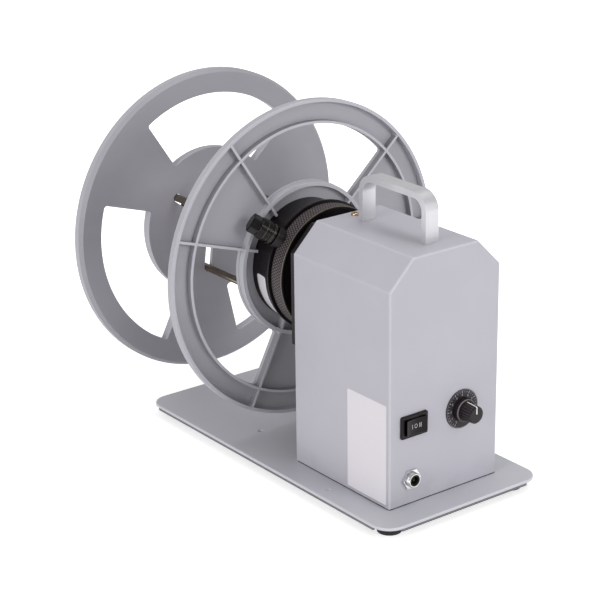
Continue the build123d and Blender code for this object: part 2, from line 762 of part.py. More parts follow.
def sector(r_in, r_out, half_angle, y0, y1):
    """A block between two radii, centred on the +X side of the shaft."""
    a = math.radians(half_angle)
    pts = []
    for r, t in ((r_in, -a), (r_out, -a), (r_out, 0), (r_out, a), (r_in, a), (r_in, 0)):
        pts.append((r * math.cos(t), r * math.sin(t)))
    p = pts
    edges = [Line(p[0], p[1]), ThreePointArc(p[1], p[2], p[3])]
    edges += [Line(p[3], p[4]), ThreePointArc(p[4], p[5], p[0])]
    face = make_face(edges)
    return Pos(0, y1, 0) * Rot(90, 0, 0) * extrude(face, y1 - y0)


def coupling_hub(y0, y1, bore, jaws_at, first_angle):
    hub = rod_y(COUPLING_R, y0, y1)
    for angle in (first_angle, first_angle + 180):
        jaw = sector(JAW_IN_R, JAW_R, JAW_ANGLE / 2, jaws_at[0], jaws_at[1])
        hub = hub + at_angle(jaw, angle)
    hub = hub - rod_y(bore + RUN, y0 - OVER, y1 + OVER)
    return on_shaft(hub)


def make_coupling_motor_hub():
    jaws = (JAW_Y0 - JAW_ROOT, JAW_Y1 - CLEAR)
    return coupling_hub(COUPLING_Y0, JAW_Y0, MOTOR_SHAFT_R, jaws, 0)


def make_coupling_spindle_hub():
    jaws = (JAW_Y0 + CLEAR, JAW_Y1 + JAW_ROOT)
    return coupling_hub(JAW_Y1, COUPLING_Y1, SPINDLE_R, jaws, 90)


def make_coupling_spider():
    y0 = JAW_Y0 + CLEAR
    y1 = JAW_Y1 - CLEAR
    spider = rod_y(JAW_IN_R - CLEAR, y0, y1)
    for angle in (45, 135, 225, 315):
        arm = sector(JAW_IN_R - JAW_ROOT, JAW_R, JAW_ANGLE / 2, y0 + CLEAR, y1 - CLEAR)
        spider = spider + at_angle(arm, angle)
    spider = spider - rod_y(MOTOR_SHAFT_R + CLEAR, y0 - OVER, y1 + OVER)
    return on_shaft(spider)


# ================================================================ chuck
def make_chuck_backplate():
    bore = SPINDLE_R + RUN
    face_y = BEARING_REAR_Y + BEARING_L
    step_r = BEARING_INNER_R - BACK_STEP
    y1 = BACKPLATE_Y0 + BACKPLATE_T
    outline = [
        (bore, face_y),
        (step_r, face_y),
        (step_r, BACK_HUB_Y0),
        (BACK_HUB_R, BACK_HUB_Y0),
        (BACK_HUB_R, BACKPLATE_Y0),
        (BACKPLATE_R, BACKPLATE_Y0),
        (BACKPLATE_R, y1),
        (bore, y1),
    ]
    return on_shaft(lathe(outline))


def make_chuck_drum():
    """Flared drum behind the knurled ring: rod guides, boss for the ring, lock boss."""
    bore = SPINDLE_R + RUN
    y0 = RING_Y1 + CLEAR
    boss_y = BACKPLATE_Y0 + BACKPLATE_T
    skirt_r = SLEEVE_R + SKIRT_CLEAR
    flat = [
        (DRUM_R, DRUM_Y1),
        (bore, DRUM_Y1),
        (bore, boss_y),
        (BOSS_R, boss_y),
        (BOSS_R, DRUM_WALL_Y),
        (skirt_r, DRUM_WALL_Y),
        (skirt_r, y0),
        (DRUM_EDGE_R, y0),
        (DRUM_EDGE_R, y0 + DRUM_EDGE),
    ]
    waist = (DRUM_WAIST_R, DRUM_WAIST_Y)
    edges = [Polyline(*flat), ThreePointArc(flat[-1], waist, flat[0])]
    drum = revolve(make_face(edges), Axis.Y)
    drum = drum + at_angle(lock_boss(), ROD_ANGLES[0])
    tapped = rod_x(LOCK_SHANK_R + RUN, -LOCK_BOSS_ROOT, LOCK_BOSS_TOP + OVER)
    cuts = [at_angle(at_lock(tapped), ROD_ANGLES[0])]
    half = CARRIER_W / 2 + RUN
    r0 = ROD_OUT - ROD_TRAVEL - CARRIER_L / 2 - GUIDE_END
    r1 = ROD_OUT + CARRIER_L / 2 + GUIDE_END
    guide = box(r0, r1, DRUM_WALL_Y - OVER, DRUM_Y1 + OVER, -half, half)
    cuts += [at_angle(guide, a) for a in ROD_ANGLES]
    screw = rod_y(FLANGE_SCREW_R + RUN, FLANGE_SCREW_TIP - OVER, DRUM_Y1 + OVER, FLANGE_SCREW_AT)
    cuts += [at_angle(screw, a) for a in screw_angles()]
    return on_shaft(cut_all(drum, cuts))


def at_lock(shape):
    """Set a shape drawn along +X on the leaning line of the lock knob."""
    return Pos(LOCK_R, LOCK_Y, 0) * Rot(0, 0, LOCK_LEAN) * shape


def lock_boss():
    """Leaning boss on the drum for the lock knob, kept clear of the ring below it."""
    boss = at_lock(rod_x(LOCK_BOSS_R, -LOCK_BOSS_ROOT, LOCK_BOSS_TOP))
    over_ring = rod_y(RING_R + LOCK_BOSS_GAP, RING_Y0, RING_Y1 + CLEAR)
    inside = rod_y(SLEEVE_R + 2 * SKIRT_CLEAR, RING_Y0, DRUM_Y1)
    return boss - over_ring - inside


def screw_angles():
    return [a + 60 for a in ROD_ANGLES]


def cam_point(turn, offset):
    """Point on the side of a spiral slot, at a turn in degrees, moved off its centre line."""
    t = math.radians(turn)
    r = ROD_OUT - CAM_PITCH * t
    across = t + math.atan2(CAM_PITCH, r)
    return (r * math.cos(t) + offset * math.cos(across), r * math.sin(t) + offset * math.sin(across))


def cam_slot():
    """Spiral slot through the cam plate; a pin in it moves inwards as the ring turns."""
    half = ROD_R + CLEAR
    lo = -SLOT_OVERRUN
    hi = RING_TURN + SLOT_OVERRUN
    steps = 12
    turns = [lo + (hi - lo) * i / steps for i in range(steps + 1)]
    outer = [cam_point(t, half) for t in turns]
    inner = [cam_point(t, -half) for t in reversed(turns)]
    tip = end_point(hi, half, 1)
    start = end_point(lo, half, -1)
    edges = [Spline(*outer), ThreePointArc(outer[-1], tip, inner[0])]
    edges += [Spline(*inner), ThreePointArc(inner[-1], start, outer[0])]
    face = make_face(edges)
    return Pos(0, CAM_Y1 + OVER, 0) * Rot(90, 0, 0) * extrude(face, CAM_Y1 - CAM_Y0 + 2 * OVER)


def end_point(turn, half, way):
    """Middle of the round end of a spiral slot."""
    x, z = cam_point(turn, 0)
    t = math.radians(turn)
    r = ROD_OUT - CAM_PITCH * t
    along = t + math.atan2(CAM_PITCH, r) + way * math.pi / 2
    return (x + half * math.cos(along), z + half * math.sin(along))


def make_adjuster_ring():
    """Knurled ring, sleeve and cam plate in one: turning it moves the three rods."""
    bevel = RING_BEVEL
    gap_r = BACKPLATE_R + CLEAR
    step_y = BACKPLATE_Y0 + BACKPLATE_T + CLEAR
    outline = [
        (BOSS_R + RUN, CAM_Y0),
        (SLEEVE_IN_R, CAM_Y0),
        (SLEEVE_IN_R, step_y),
        (gap_r, step_y),
        (gap_r, RING_Y0),
        (RING_R - bevel, RING_Y0),
        (RING_R, RING_Y0 + bevel),
        (RING_R, RING_Y1 - bevel),
        (RING_R - bevel, RING_Y1),
        (SLEEVE_R, RING_Y1),
        (SLEEVE_R, CAM_Y1),
        (BOSS_R + RUN, CAM_Y1),
    ]
    ring = lathe(outline)
    slot = cam_slot()
    return on_shaft(cut_all(ring, [at_angle(slot, a) for a in ROD_ANGLES]))


def make_rod_carrier(angle):
    """Sliding block in the drum, with the pin that follows the spiral slot."""
    r0 = ROD_OUT - CARRIER_L / 2
    r1 = ROD_OUT + CARRIER_L / 2
    half = CARRIER_W / 2
    y0 = DRUM_WALL_Y + CLEAR
    block = box(r0, r1, y0, DRUM_Y1 - CLEAR, -half, half)
    block = block + rod_y(ROD_R, CAM_Y0 + CLEAR, y0, ROD_OUT)
    block = block - rod_y(ROD_R + RUN, CARRIER_SEAT, DRUM_Y1, ROD_OUT)
    return on_shaft(at_angle(block, angle))


def make_core_rod(angle):
    rod = rod_y(ROD_R, CARRIER_SEAT, ROD_END, ROD_OUT)
    rod = chamfer(rod.edges().sort_by(Axis.Y)[-1], ROD_CHAMFER)
    return on_shaft(at_angle(rod, angle))


def make_lock_knob():
    """Hand screw that clamps the adjuster ring: shank, ridged body, collar and six-sided cap."""
    lean = math.radians(LOCK_LEAN)
    reach = LOCK_R - SLEEVE_R - CLEAR - LOCK_SHANK_R * math.sin(lean)
    tip = -reach / math.cos(lean)
    low = LOCK_BOSS_TOP + CLEAR
    r = LOCK_BODY_R
    top_r = LOCK_RIDGE_R
    edge = LOCK_EDGE
    r0, r1 = LOCK_RIDGE
    c0, c1 = LOCK_COLLAR
    outline = [
        (tip, 0),
        (tip, LOCK_SHANK_R),
        (low, LOCK_SHANK_R),
        (low, r - edge),
        (low + edge, r),
        (r0, r),
        (r0, top_r),
        (r1, top_r),
        (r1, r),
        (c0, r),
        (c0, top_r - edge),
        (c0 + edge, top_r),
        (c1 - edge, top_r),
        (c1, top_r - edge),
        (c1, 0),
    ]
    knob = revolve(make_face(Polyline(*outline, close=True)), Axis.X)
    flat = RegularPolygon(LOCK_CAP_AF / 2, 6, major_radius=False)
    flat = fillet(flat.vertices(), LOCK_CAP_ROUND)
    cap = extrude(flat, LOCK_CAP_TOP - c1 + edge)
    cap = chamfer(cap.edges().group_by(Axis.Z)[-1], LOCK_CAP_EDGE)
    knob = knob + Pos(c1 - edge, 0, 0) * Rot(0, 90, 0) * cap
    return on_shaft(at_angle(at_lock(knob), ROD_ANGLES[0]))


# ================================================================ flanges
def window_face():
    """One window between two spokes, centred on the +X side."""
    a = math.radians(60 - SPOKE_HALF)
    r0 = WINDOW_IN
    r1 = WINDOW_OUT
    p = []
    for r, t in ((r0, -a), (r1, -a), (r1, 0), (r1, a), (r0, a), (r0, 0)):
        p.append((r * math.cos(t), r * math.sin(t)))
    edges = [Line(p[0], p[1]), ThreePointArc(p[1], p[2], p[3])]
    edges += [Line(p[3], p[4]), ThreePointArc(p[4], p[5], p[0])]
    face = make_face(edges)
    return fillet(face.vertices(), WINDOW_FILLET)


def flange_blank(rib_start, boss_r, boss_end):
    """Ribbed disc with its smooth face at y = 0 and its ribs towards +Y."""
    bore = SPINDLE_R + RUN
    wall = FLANGE_R - RIM_T
    edge = FLANGE_R - FLANGE_BEVEL
    outline = [(bore, 0), (edge, 0), (FLANGE_R, FLANGE_T), (FLANGE_R, FLANGE_DEEP)]
    outline += [(wall, FLANGE_DEEP), (wall, FLANGE_T)]
    for r0, r1 in (OUTER_RIB, HUB_RIB):
        outline += [(r1, FLANGE_T), (r1, FLANGE_DEEP), (r0, FLANGE_DEEP), (r0, FLANGE_T)]
    if boss_r > 0:
        outline += [(boss_r, FLANGE_T), (boss_r, boss_end), (bore, boss_end)]
    else:
        outline.append((bore, FLANGE_T))
    disc = lathe(outline)
    rib_top = FLANGE_DEEP - RIB_LOWER
    for middle in ROD_ANGLES:
        low = box(rib_start, wall + OVER, FLANGE_T - OVER, rib_top, RIB_SET, RIB_SET + RIB_T)
        high = box(rib_start, wall + OVER, FLANGE_T - OVER, rib_top, -RIB_SET - RIB_T, -RIB_SET)
        disc = disc + at_angle(low, middle - SPOKE_HALF)
        disc = disc + at_angle(high, middle + SPOKE_HALF)
    window = Pos(0, FLANGE_T + OVER, 0) * Rot(90, 0, 0) * extrude(window_face(), FLANGE_T + 2 * OVER)
    cuts = [at_angle(window, a + 60) for a in ROD_ANGLES]
    slot = extrude(SlotCenterToCenter(ROD_TRAVEL, 2 * FLANGE_SLOT_R), FLANGE_DEEP + 2 * OVER)
    slot = Pos(ROD_OUT - ROD_TRAVEL / 2, FLANGE_DEEP + OVER, 0) * Rot(90, 0, 0) * slot
    cuts += [at_angle(slot, a) for a in ROD_ANGLES]
    return cut_all(disc, cuts)


def make_near_flange():
    """Fixed flange: its ribs face the housing and its smooth face faces the roll."""
    blank = flange_blank(RIB_START, 0, 0)
    flange = Pos(0, NEAR_FACE, 0) * mirror(blank, Plane.XZ)
    sink = FLANGE_SCREW_HEAD_R - FLANGE_SCREW_R
    cone = lathe([
        (0, NEAR_FACE - sink),
        (FLANGE_SCREW_R + RUN, NEAR_FACE - sink),
        (FLANGE_SCREW_HEAD_R + RUN, NEAR_FACE),
        (FLANGE_SCREW_HEAD_R + RUN, NEAR_FACE + OVER),
        (0, NEAR_FACE + OVER),
    ])
    hole = cone + rod_y(FLANGE_SCREW_R + RUN, DRUM_Y1 - OVER, NEAR_FACE)
    hole = Pos(FLANGE_SCREW_AT, 0, 0) * hole
    return on_shaft(cut_all(flange, [at_angle(hole, a) for a in screw_angles()]))


def make_flange_screws():
    sink = FLANGE_SCREW_HEAD_R - FLANGE_SCREW_R
    screw = lathe([
        (0, FLANGE_SCREW_TIP),
        (FLANGE_SCREW_R, FLANGE_SCREW_TIP),
        (FLANGE_SCREW_R, NEAR_FACE - sink),
        (FLANGE_SCREW_HEAD_R, NEAR_FACE),
        (0, NEAR_FACE),
    ])
    screw = screw - hex_y(FLANGE_SOCKET_AF, NEAR_FACE - FLANGE_SOCKET, NEAR_FACE + OVER)
    screw = Pos(FLANGE_SCREW_AT, 0, 0) * screw
    return on_shaft(around(screw, screw_angles()))


def make_hub_nut():
    nut = hex_y(HUB_NUT_AF, NEAR_FACE, NEAR_FACE + HUB_NUT_H)
    nut = nut - rod_y(SPINDLE_R + RUN, NEAR_FACE - OVER, NEAR_FACE + HUB_NUT_H + OVER)
    return on_shaft(nut)


def make_stop_collar():
    """Collar on the spindle that sets the gap between the two flanges."""
    ring = rod_y(STOP_R, FAR_FACE - STOP_L, FAR_FACE)
    ring = chamfer(ring.edges().group_by(Axis.Y)[0], STOP_CHAMFER)
    return on_shaft(ring - rod_y(SPINDLE_R + RUN, FAR_FACE - STOP_L - OVER, FAR_FACE + OVER))


def make_far_flange():
    """Loose flange: slides off the spindle when the clamp knob is unscrewed."""
    boss_end = FAR_BOSS_END - FAR_FACE
    flange = flange_blank(FAR_BOSS_R - FAR_RIB_ROOT, FAR_BOSS_R, boss_end)
    return on_shaft(Pos(0, FAR_FACE, 0) * flange)


# ================================================================ clamp knob
def make_clamp_knob():
    knob = rod_y(KNOB_R, KNOB_Y0, KNOB_Y1)
    ends = knob.edges().filter_by(GeomType.CIRCLE)
    knob = fillet(ends, KNOB_ROUND)
    for i in range(KNOB_LOBES):
        scallop = rod_y(KNOB_SCALLOP_R, KNOB_Y0 - OVER, KNOB_Y1 + OVER, KNOB_SCALLOP_AT)
        knob = knob - at_angle(scallop, 360 / KNOB_LOBES * i)
    knob = knob - rod_y(INSERT_R + RUN, KNOB_Y0 - OVER, INSERT_END)
    return on_shaft(knob)


def make_clamp_insert():
    insert = rod_y(INSERT_R, KNOB_Y0, INSERT_END)
    return on_shaft(insert - rod_y(SPINDLE_R + RUN, KNOB_Y0 - OVER, INSERT_END + OVER))


# ================================================================ rocker switch
def make_rocker_housing():
    frame = box(-BEZEL_W / 2, BEZEL_W / 2, -BEZEL_T, 0, -BEZEL_H / 2, BEZEL_H / 2)
    frame = fillet(frame.edges().filter_by(Axis.Y), BEZEL_CORNER)
    frame = fillet(frame.faces().sort_by(Axis.Y)[0].edges(), BEZEL_EDGE)
    w = ROCKER_BODY_W / 2
    h = ROCKER_BODY_H / 2
    body = frame + box(-w, w, 0, ROCKER_DEEP, -h, h)
    for i in (-1, 0, 1):
        x = i * TERMINAL_PITCH - TERMINAL_T / 2
        y1 = ROCKER_DEEP + TERMINAL_L
        body = body + box(x, x + TERMINAL_T, ROCKER_DEEP, y1, -TERMINAL_W / 2, TERMINAL_W / 2)
    w = ROCKER_RECESS_W / 2
    h = ROCKER_RECESS_H / 2
    body = body - box(-w, w, -BEZEL_T - OVER, ROCKER_RECESS, -h, h)
    pins = rod_z(PIVOT_R + RUN, -h - PIVOT_HOLE_END, h + PIVOT_HOLE_END, 0, PADDLE_PIVOT_Y)
    return Pos(ROCKER_X, 0, ROCKER_Z) * (body - pins)


def make_rocker_paddle():
    """Rocking part of the switch, hollowed along its length, with its two pivot pins."""
    side_x, side_y = PADDLE_SIDE
    back_x, back_y = PADDLE_BACK
    left = (-PADDLE_TIP_X, PADDLE_TIP_Y)
    right = (PADDLE_TIP_X, PADDLE_TIP_Y)
    under = [right, (side_x, side_y), (back_x, back_y), (-back_x, back_y), (-side_x, side_y), left]
    edges = [ThreePointArc(left, (0, PADDLE_MID_Y), right), Polyline(*under)]
    paddle = Pos(0, 0, -PADDLE_H / 2) * extrude(make_face(edges), PADDLE_H)
    reach = ROCKER_RECESS_H / 2 + PIVOT_END
    paddle = paddle + rod_z(PIVOT_R, -reach, reach, 0, PADDLE_PIVOT_Y)
    return Pos(ROCKER_X, 0, ROCKER_Z) * paddle


# ================================================================ speed control
def at_dial(shape):
    return Pos(DIAL_X, 0, DIAL_Z) * shape


def make_dial_plate():
    return at_dial(rod_y(DIAL_R, -DIAL_T, 0) - rod_y(BUSH_R + RUN, -DIAL_T - OVER, OVER))


def make_potentiometer():
    body = rod_y(POT_R, SHEET_T, SHEET_T + POT_DEEP)
    body = body + rod_y(BUSH_R, -BUSH_OUT, SHEET_T)
    half = POT_TAG_W / 2
    tag_y = SHEET_T + POT_TAG_T
    low = -POT_R - POT_TAG_L
    body = body + box(-half, half, tag_y, tag_y + POT_TAG_T, low, POT_TAG_T - POT_R)
    body = body - rod_y(POT_SHAFT_R + RUN, -BUSH_OUT - OVER, SHEET_T + POT_DEEP / 2)
    return at_dial(body)


def make_potentiometer_nut():
    y1 = -DIAL_T
    nut = hex_y(POT_NUT_AF, y1 - POT_NUT_H, y1)
    return at_dial(nut - rod_y(BUSH_R + RUN, y1 - POT_NUT_H - OVER, y1 + OVER))


def make_pot_shaft():
    return at_dial(rod_y(POT_SHAFT_R, DIAL_KNOB_BORE, SHEET_T + POT_DEEP / 2 - CLEAR))


def make_speed_knob():
    """Fluted knob with a skirt; it covers the nut and turns just clear of the dial."""
    y0 = -DIAL_T - CLEAR
    bore = POT_SHAFT_R + RUN
    outline = [
        (bore, y0 - KNOB_RECESS),
        (KNOB_RECESS_R, y0 - KNOB_RECESS),
        (KNOB_RECESS_R, y0),
        (SKIRT_R, y0),
        (SKIRT_R, SKIRT_Y + SKIRT_BEVEL),
        (SKIRT_R - SKIRT_BEVEL, SKIRT_Y),
        (DIAL_KNOB_R, SKIRT_Y),
        (DIAL_KNOB_TIP_R, DIAL_KNOB_END + DIAL_KNOB_BEVEL),
        (DIAL_KNOB_TIP_R - DIAL_KNOB_BEVEL, DIAL_KNOB_END),
        (0, DIAL_KNOB_END),
        (0, DIAL_KNOB_BORE),
        (bore, DIAL_KNOB_BORE),
    ]
    knob = lathe(outline)
    flute = rod_y(FLUTE_R, DIAL_KNOB_END - OVER, SKIRT_Y - FLUTE_START, FLUTE_AT)
    turns = [360 / FLUTES * (i + 0.5) for i in range(FLUTES)]
    return at_dial(cut_all(knob, [at_angle(flute, a) for a in turns]))


# ================================================================ power inlet
def make_dc_jack():
    barrel = rod_y(JACK_R, -JACK_OUT, JACK_IN)
    barrel = chamfer(barrel.edges().group_by(Axis.Y)[0], JACK_CHAMFER)
    barrel = barrel - rod_y(JACK_BORE_R, -JACK_OUT - OVER, -JACK_OUT + JACK_BORE)
    barrel = barrel + rod_y(JACK_PIN_R, -JACK_OUT + JACK_PIN_SET, -JACK_OUT + JACK_BORE)
    half = JACK_TAG_W / 2
    for side in (-1, 1):
        x = side * JACK_TAG_X - JACK_TAG_T / 2
        barrel = barrel + box(x, x + JACK_TAG_T, JACK_IN, JACK_IN + JACK_TAG_L, -half, half)
    return Pos(JACK_X, 0, JACK_Z) * barrel


def make_jack_nut():
    nut = hex_y(JACK_NUT_AF, -JACK_NUT_H, 0)
    nut = nut - rod_y(JACK_R + RUN, -JACK_NUT_H - OVER, OVER)
    return Pos(JACK_X, 0, JACK_Z) * nut


# ================================================================ control board
def board_hole_places():
    ys = (BOARD_Y[0] + BOARD_HOLE_IN, BOARD_Y[1] - BOARD_HOLE_IN)
    zs = (BOARD_Z[0] + BOARD_HOLE_IN, BOARD_Z[1] - BOARD_HOLE_IN)
    return [(y, z) for y in ys for z in zs]


def board_faces():
    """The x of the wall, of the board's wall side and of its component side."""
    wall = HOUSE_W / 2 - SHEET_T
    return wall, wall - STANDOFF_L, wall - STANDOFF_L - BOARD_T


def make_control_board():
    back, front = board_faces()[1:]
    board = box(front, back, BOARD_Y[0], BOARD_Y[1], BOARD_Z[0], BOARD_Z[1])
    holes = [rod_x(BOARD_SCREW_R + RUN, front - OVER, back + OVER, y, z) for y, z in board_hole_places()]
    return cut_all(board, holes)


def make_board_standoffs():
    wall, back = board_faces()[:2]
    posts = []
    for y, z in board_hole_places():
        post = rod_x(STANDOFF_R, back, wall, y, z)
        posts.append(post - rod_x(BOARD_SCREW_R + RUN, back - OVER, wall - OVER, y, z))
    return Compound(children=posts)


def make_board_screws():
    back, front = board_faces()[1:]
    screws = []
    for y, z in board_hole_places():
        head = rod_x(BOARD_HEAD_R, front - BOARD_HEAD_H, front, y, z)
        screws.append(head + rod_x(BOARD_SCREW_R, front, back + STANDOFF_L - BOARD_SCREW_SPARE, y, z))
    return Compound(children=screws)


def make_board_capacitor():
    front = board_faces()[2]
    y, z = CAPACITOR_AT
    return rod_x(CAPACITOR_R, front - CAPACITOR_L, front, y, z)


def make_board_terminals():
    front = board_faces()[2]
    d, w, h = TERMINALS
    y0, z0 = TERMINALS_AT
    block = box(front - d, front, y0, y0 + w, z0, z0 + h)
    for i in range(TERMINAL_WAYS):
        y = y0 + w * (i + 0.5) / TERMINAL_WAYS
        hole = rod_x(TERMINAL_HOLE_R, front - d - OVER, front - d + TERMINAL_HOLE, y, z0 + h / 2)
        block = block - hole
    return block


def make_board_heat_sink():
    front = board_faces()[2]
    d, w, h = SINK
    y0, z0 = SINK_AT
    base = front - SINK_BASE
    sink = box(base, front, y0, y0 + w, z0, z0 + h)
    pitch = (h - SINK_FIN) / (SINK_FINS - 1)
    for i in range(SINK_FINS):
        z = z0 + i * pitch
        sink = sink + box(front - d, base, y0, y0 + w, z, z + SINK_FIN)
    return sink


save(make_base_plate(), "base_plate")
save(make_feet(), "feet")
save(make_foot_nuts(), "foot_nuts")
save(make_base_screws(), "base_screws")
save(make_housing_cover(), "housing_cover")
save(make_rear_panel(), "rear_panel")
save(make_top_screw(), "top_screw")
save(make_carry_handle(), "carry_handle")
save(make_handle_screws(), "handle_screws")
save(make_bearing_block(), "bearing_block")
save(make_bearing_screws(), "bearing_screws")
for place, ring_y in (("front", BEARING_FRONT_Y), ("rear", BEARING_REAR_Y)):
    save(bearing_ring(ring_y, BEARING_INNER_R + CLEAR, BEARING_R), place + "_bearing_outer")
    save(bearing_ring(ring_y, SPINDLE_R + RUN, BEARING_INNER_R), place + "_bearing_inner")
save(make_spindle(), "spindle")
save(make_gear_motor(), "gear_motor")
save(make_gearbox(), "gearbox")
save(make_motor_bracket(), "motor_bracket")
save(make_motor_screws(), "motor_screws")
save(make_motor_shaft(), "motor_shaft")
save(make_coupling_motor_hub(), "coupling_motor_hub")
save(make_coupling_spider(), "coupling_spider")
save(make_coupling_spindle_hub(), "coupling_spindle_hub")
save(make_chuck_backplate(), "chuck_backplate")
save(make_chuck_drum(), "chuck_drum")
save(make_adjuster_ring(), "adjuster_ring")
for number, rod_angle in enumerate(ROD_ANGLES, start=1):
    save(make_rod_carrier(rod_angle), "rod_carrier_" + str(number))
    save(make_core_rod(rod_angle), "core_rod_" + str(number))
save(make_lock_knob(), "lock_knob")
save(make_near_flange(), "near_flange")
save(make_flange_screws(), "flange_screws")
save(make_hub_nut(), "hub_nut")
save(make_stop_collar(), "stop_collar")
save(make_far_flange(), "far_flange")
save(make_clamp_knob(), "clamp_knob")
save(make_clamp_insert(), "clamp_knob_insert")
save(make_rocker_housing(), "rocker_housing")
save(make_rocker_paddle(), "rocker_paddle")
save(make_dial_plate(), "dial_plate")
save(make_potentiometer(), "potentiometer")
save(make_potentiometer_nut(), "potentiometer_nut")
save(make_pot_shaft(), "potentiometer_shaft")
save(make_speed_knob(), "speed_knob")
save(make_dc_jack(), "dc_jack")
save(make_jack_nut(), "jack_nut")
save(make_control_board(), "control_board")
save(make_board_standoffs(), "board_standoffs")
save(make_board_screws(), "board_screws")
save(make_board_capacitor(), "board_capacitor")
save(make_board_terminals(), "board_terminals")
save(make_board_heat_sink(), "board_heat_sink")
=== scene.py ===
import json
import math

import bmesh
import bpy
from mathutils import Matrix, Vector


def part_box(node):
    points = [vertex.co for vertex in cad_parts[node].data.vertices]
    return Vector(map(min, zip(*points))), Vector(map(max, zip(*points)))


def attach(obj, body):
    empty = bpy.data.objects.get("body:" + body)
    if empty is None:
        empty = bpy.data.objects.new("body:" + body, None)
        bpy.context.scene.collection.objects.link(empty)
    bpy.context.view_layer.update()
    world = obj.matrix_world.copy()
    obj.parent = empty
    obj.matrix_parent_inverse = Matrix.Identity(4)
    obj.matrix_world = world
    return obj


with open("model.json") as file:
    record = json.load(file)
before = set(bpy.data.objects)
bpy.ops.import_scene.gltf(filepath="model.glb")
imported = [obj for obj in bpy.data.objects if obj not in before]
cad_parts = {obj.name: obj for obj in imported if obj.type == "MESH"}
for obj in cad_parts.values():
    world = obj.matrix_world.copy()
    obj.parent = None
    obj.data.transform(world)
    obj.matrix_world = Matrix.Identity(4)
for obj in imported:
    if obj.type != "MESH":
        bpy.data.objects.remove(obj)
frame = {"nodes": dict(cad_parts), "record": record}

bl_info = {
    "name": "Label Rewinder",
    "version": (1, 0, 0),
    "blender": (4, 5, 0),
    "location": "View3D > Sidebar > Rewinder",
    "description": "Dresses the packed label rewinder with detail, materials, light and a camera",
    "category": "Object",
}

MM = 0.001


# ---------------------------------------------------------------- places, in mm
def box_mm(node):
    """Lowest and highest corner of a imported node, in mm."""
    return [[round(v / MM, 3) for v in corner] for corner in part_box(node)]


def middle(node):
    """(x, z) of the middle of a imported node, in mm."""
    low, high = box_mm(node)
    return ((low[0] + high[0]) / 2, (low[2] + high[2]) / 2)


COVER_LOW, COVER_HIGH = box_mm("housing_cover")
FACE_Y = COVER_LOW[1]
PLATE_TOP = COVER_LOW[2]
SHAFT_UP = middle("adjuster_ring")[1]
ROCKER_AT = middle("rocker_paddle")
DIAL_AT = middle("dial_plate")
JACK_AT = middle("dc_jack")

HOUSE_CHAMFER = 21.4
HOUSE_ROUND = 1.8
HOUSE_HALF = COVER_HIGH[0]
HOUSE_TOP = COVER_HIGH[2]
HOUSE_SHOULDER = HOUSE_TOP - HOUSE_CHAMFER
HOUSE_TOP_HALF = HOUSE_HALF - HOUSE_CHAMFER

# From here on, every y is counted from the control face towards the flanges.
DIAL_FACE = box_mm("dial_plate")[0][1] - FACE_Y
RING_FRONT = box_mm("adjuster_ring")[0][1] - FACE_Y
NEAR_FLANGE = box_mm("near_flange")[0][1] - FACE_Y
FAR_FLANGE = box_mm("far_flange")[0][1] - FACE_Y
# Ranges of y where the flanges get a painted highlight on their rib tops and painted shade on their rib
# sides, and the radii where that shade goes.
NEAR_RIB_TOP_HIGHLIGHT = (NEAR_FLANGE - 0.5, NEAR_FLANGE + 0.5)
NEAR_RIB_SIDE_SHADE = (NEAR_FLANGE + 0.5, NEAR_FLANGE + 5.4)
FAR_RIB_TOP_HIGHLIGHT = (FAR_FLANGE + 7.6, FAR_FLANGE + 10.0)
FLANGE_FIELD = (61.5, 121.0)

# Knurled ring. RING_EDGE is a profile of (radius, y), with y counted from the ring's front.
KNURL_L = 13.4
KNURL_MARGIN = 0.8
KNURL_STRETCH = 1.7
RING_EDGE = ((48.85, 0.4), (48.95, 0.38), (49.22, 0.68), (49.2, 0.8), (49.0, 0.8))

# Stickers: (width, height, corner radius), and where their middles lie.
SIDE_STICKER = (44.0, 77.0, 1.2)
SIDE_STICKER_AT = (25.5, 51.5)
DRUM_STICKER = (47.8, 13.2, 1.8)
DRUM_STICKER_Y = 154.9
DRUM_STICKER_TURN = 209.0
DRUM_STICKER_R = 49.0
DRUM_ARC = ((51.2, 144.1), (48.7, 152.5), (47.6, 167.0))

# Lock knob: (radius, place along the knob) of each pale line, a painted highlight on its edges and
# ridges, and the section of one line.
LOCK_TURN = 142.9
LOCK_LEAN = 26.0
LOCK_FOOT = (50.0, 146.0)
LOCK_HIGHLIGHTS = ((8.1, 4.28), (8.1, 5.22), (7.85, 7.68), (8.1, 10.6), (7.85, 15.62))
LOCK_HIGHLIGHT_SECTION = ((-0.1, -0.09), (0.05, -0.07), (0.05, 0.07), (-0.1, 0.09))

# Switch: three points (x, y) of the paddle's front.
PADDLE_ARC = ((-9.2, -4.4), (0.0, -2.9), (9.2, -4.4))
SWITCH_BARS_X = (-3.4, 3.3, 4.5)

# Dial and speed knob, with profiles of (radius, y).
DIAL_TURN = 150.0
TICK_R = 13.1
NUMBER_R = 10.75
NUMBER_SIZE = 1.7
DIAL_RIM = ((14.75, -0.78), (14.75, -0.95), (14.3, -0.95), (14.2, -0.78))
SKIRT_RING = ((8.7, -5.18), (8.1, -5.8), (8.0, -5.7), (8.6, -5.05))
POINTER_PATH = ((7.06, -6.3), (6.55, -16.0), (5.95, -16.62), (0.8, -16.64))
FLUTES = 20
GRIP_R = (5.9, 7.3)
GRIP_Y = (-16.0, -6.6)

# Power inlet: radii inside, at the root and at the crest of the thread, and its y.
JACK_BORE_R = 3.25
THREAD_TURNS = 4
THREAD_PITCH = 0.6
THREAD_R = (5.4, 5.5, 5.72)
THREAD_Y = (-2.55, -2.6, -5.0, -5.05)
INSULATOR = ((3.22, -5.3), (3.22, -5.56), (3.5, -5.68), (4.3, -5.68), (4.45, -5.5), (4.45, -5.3))

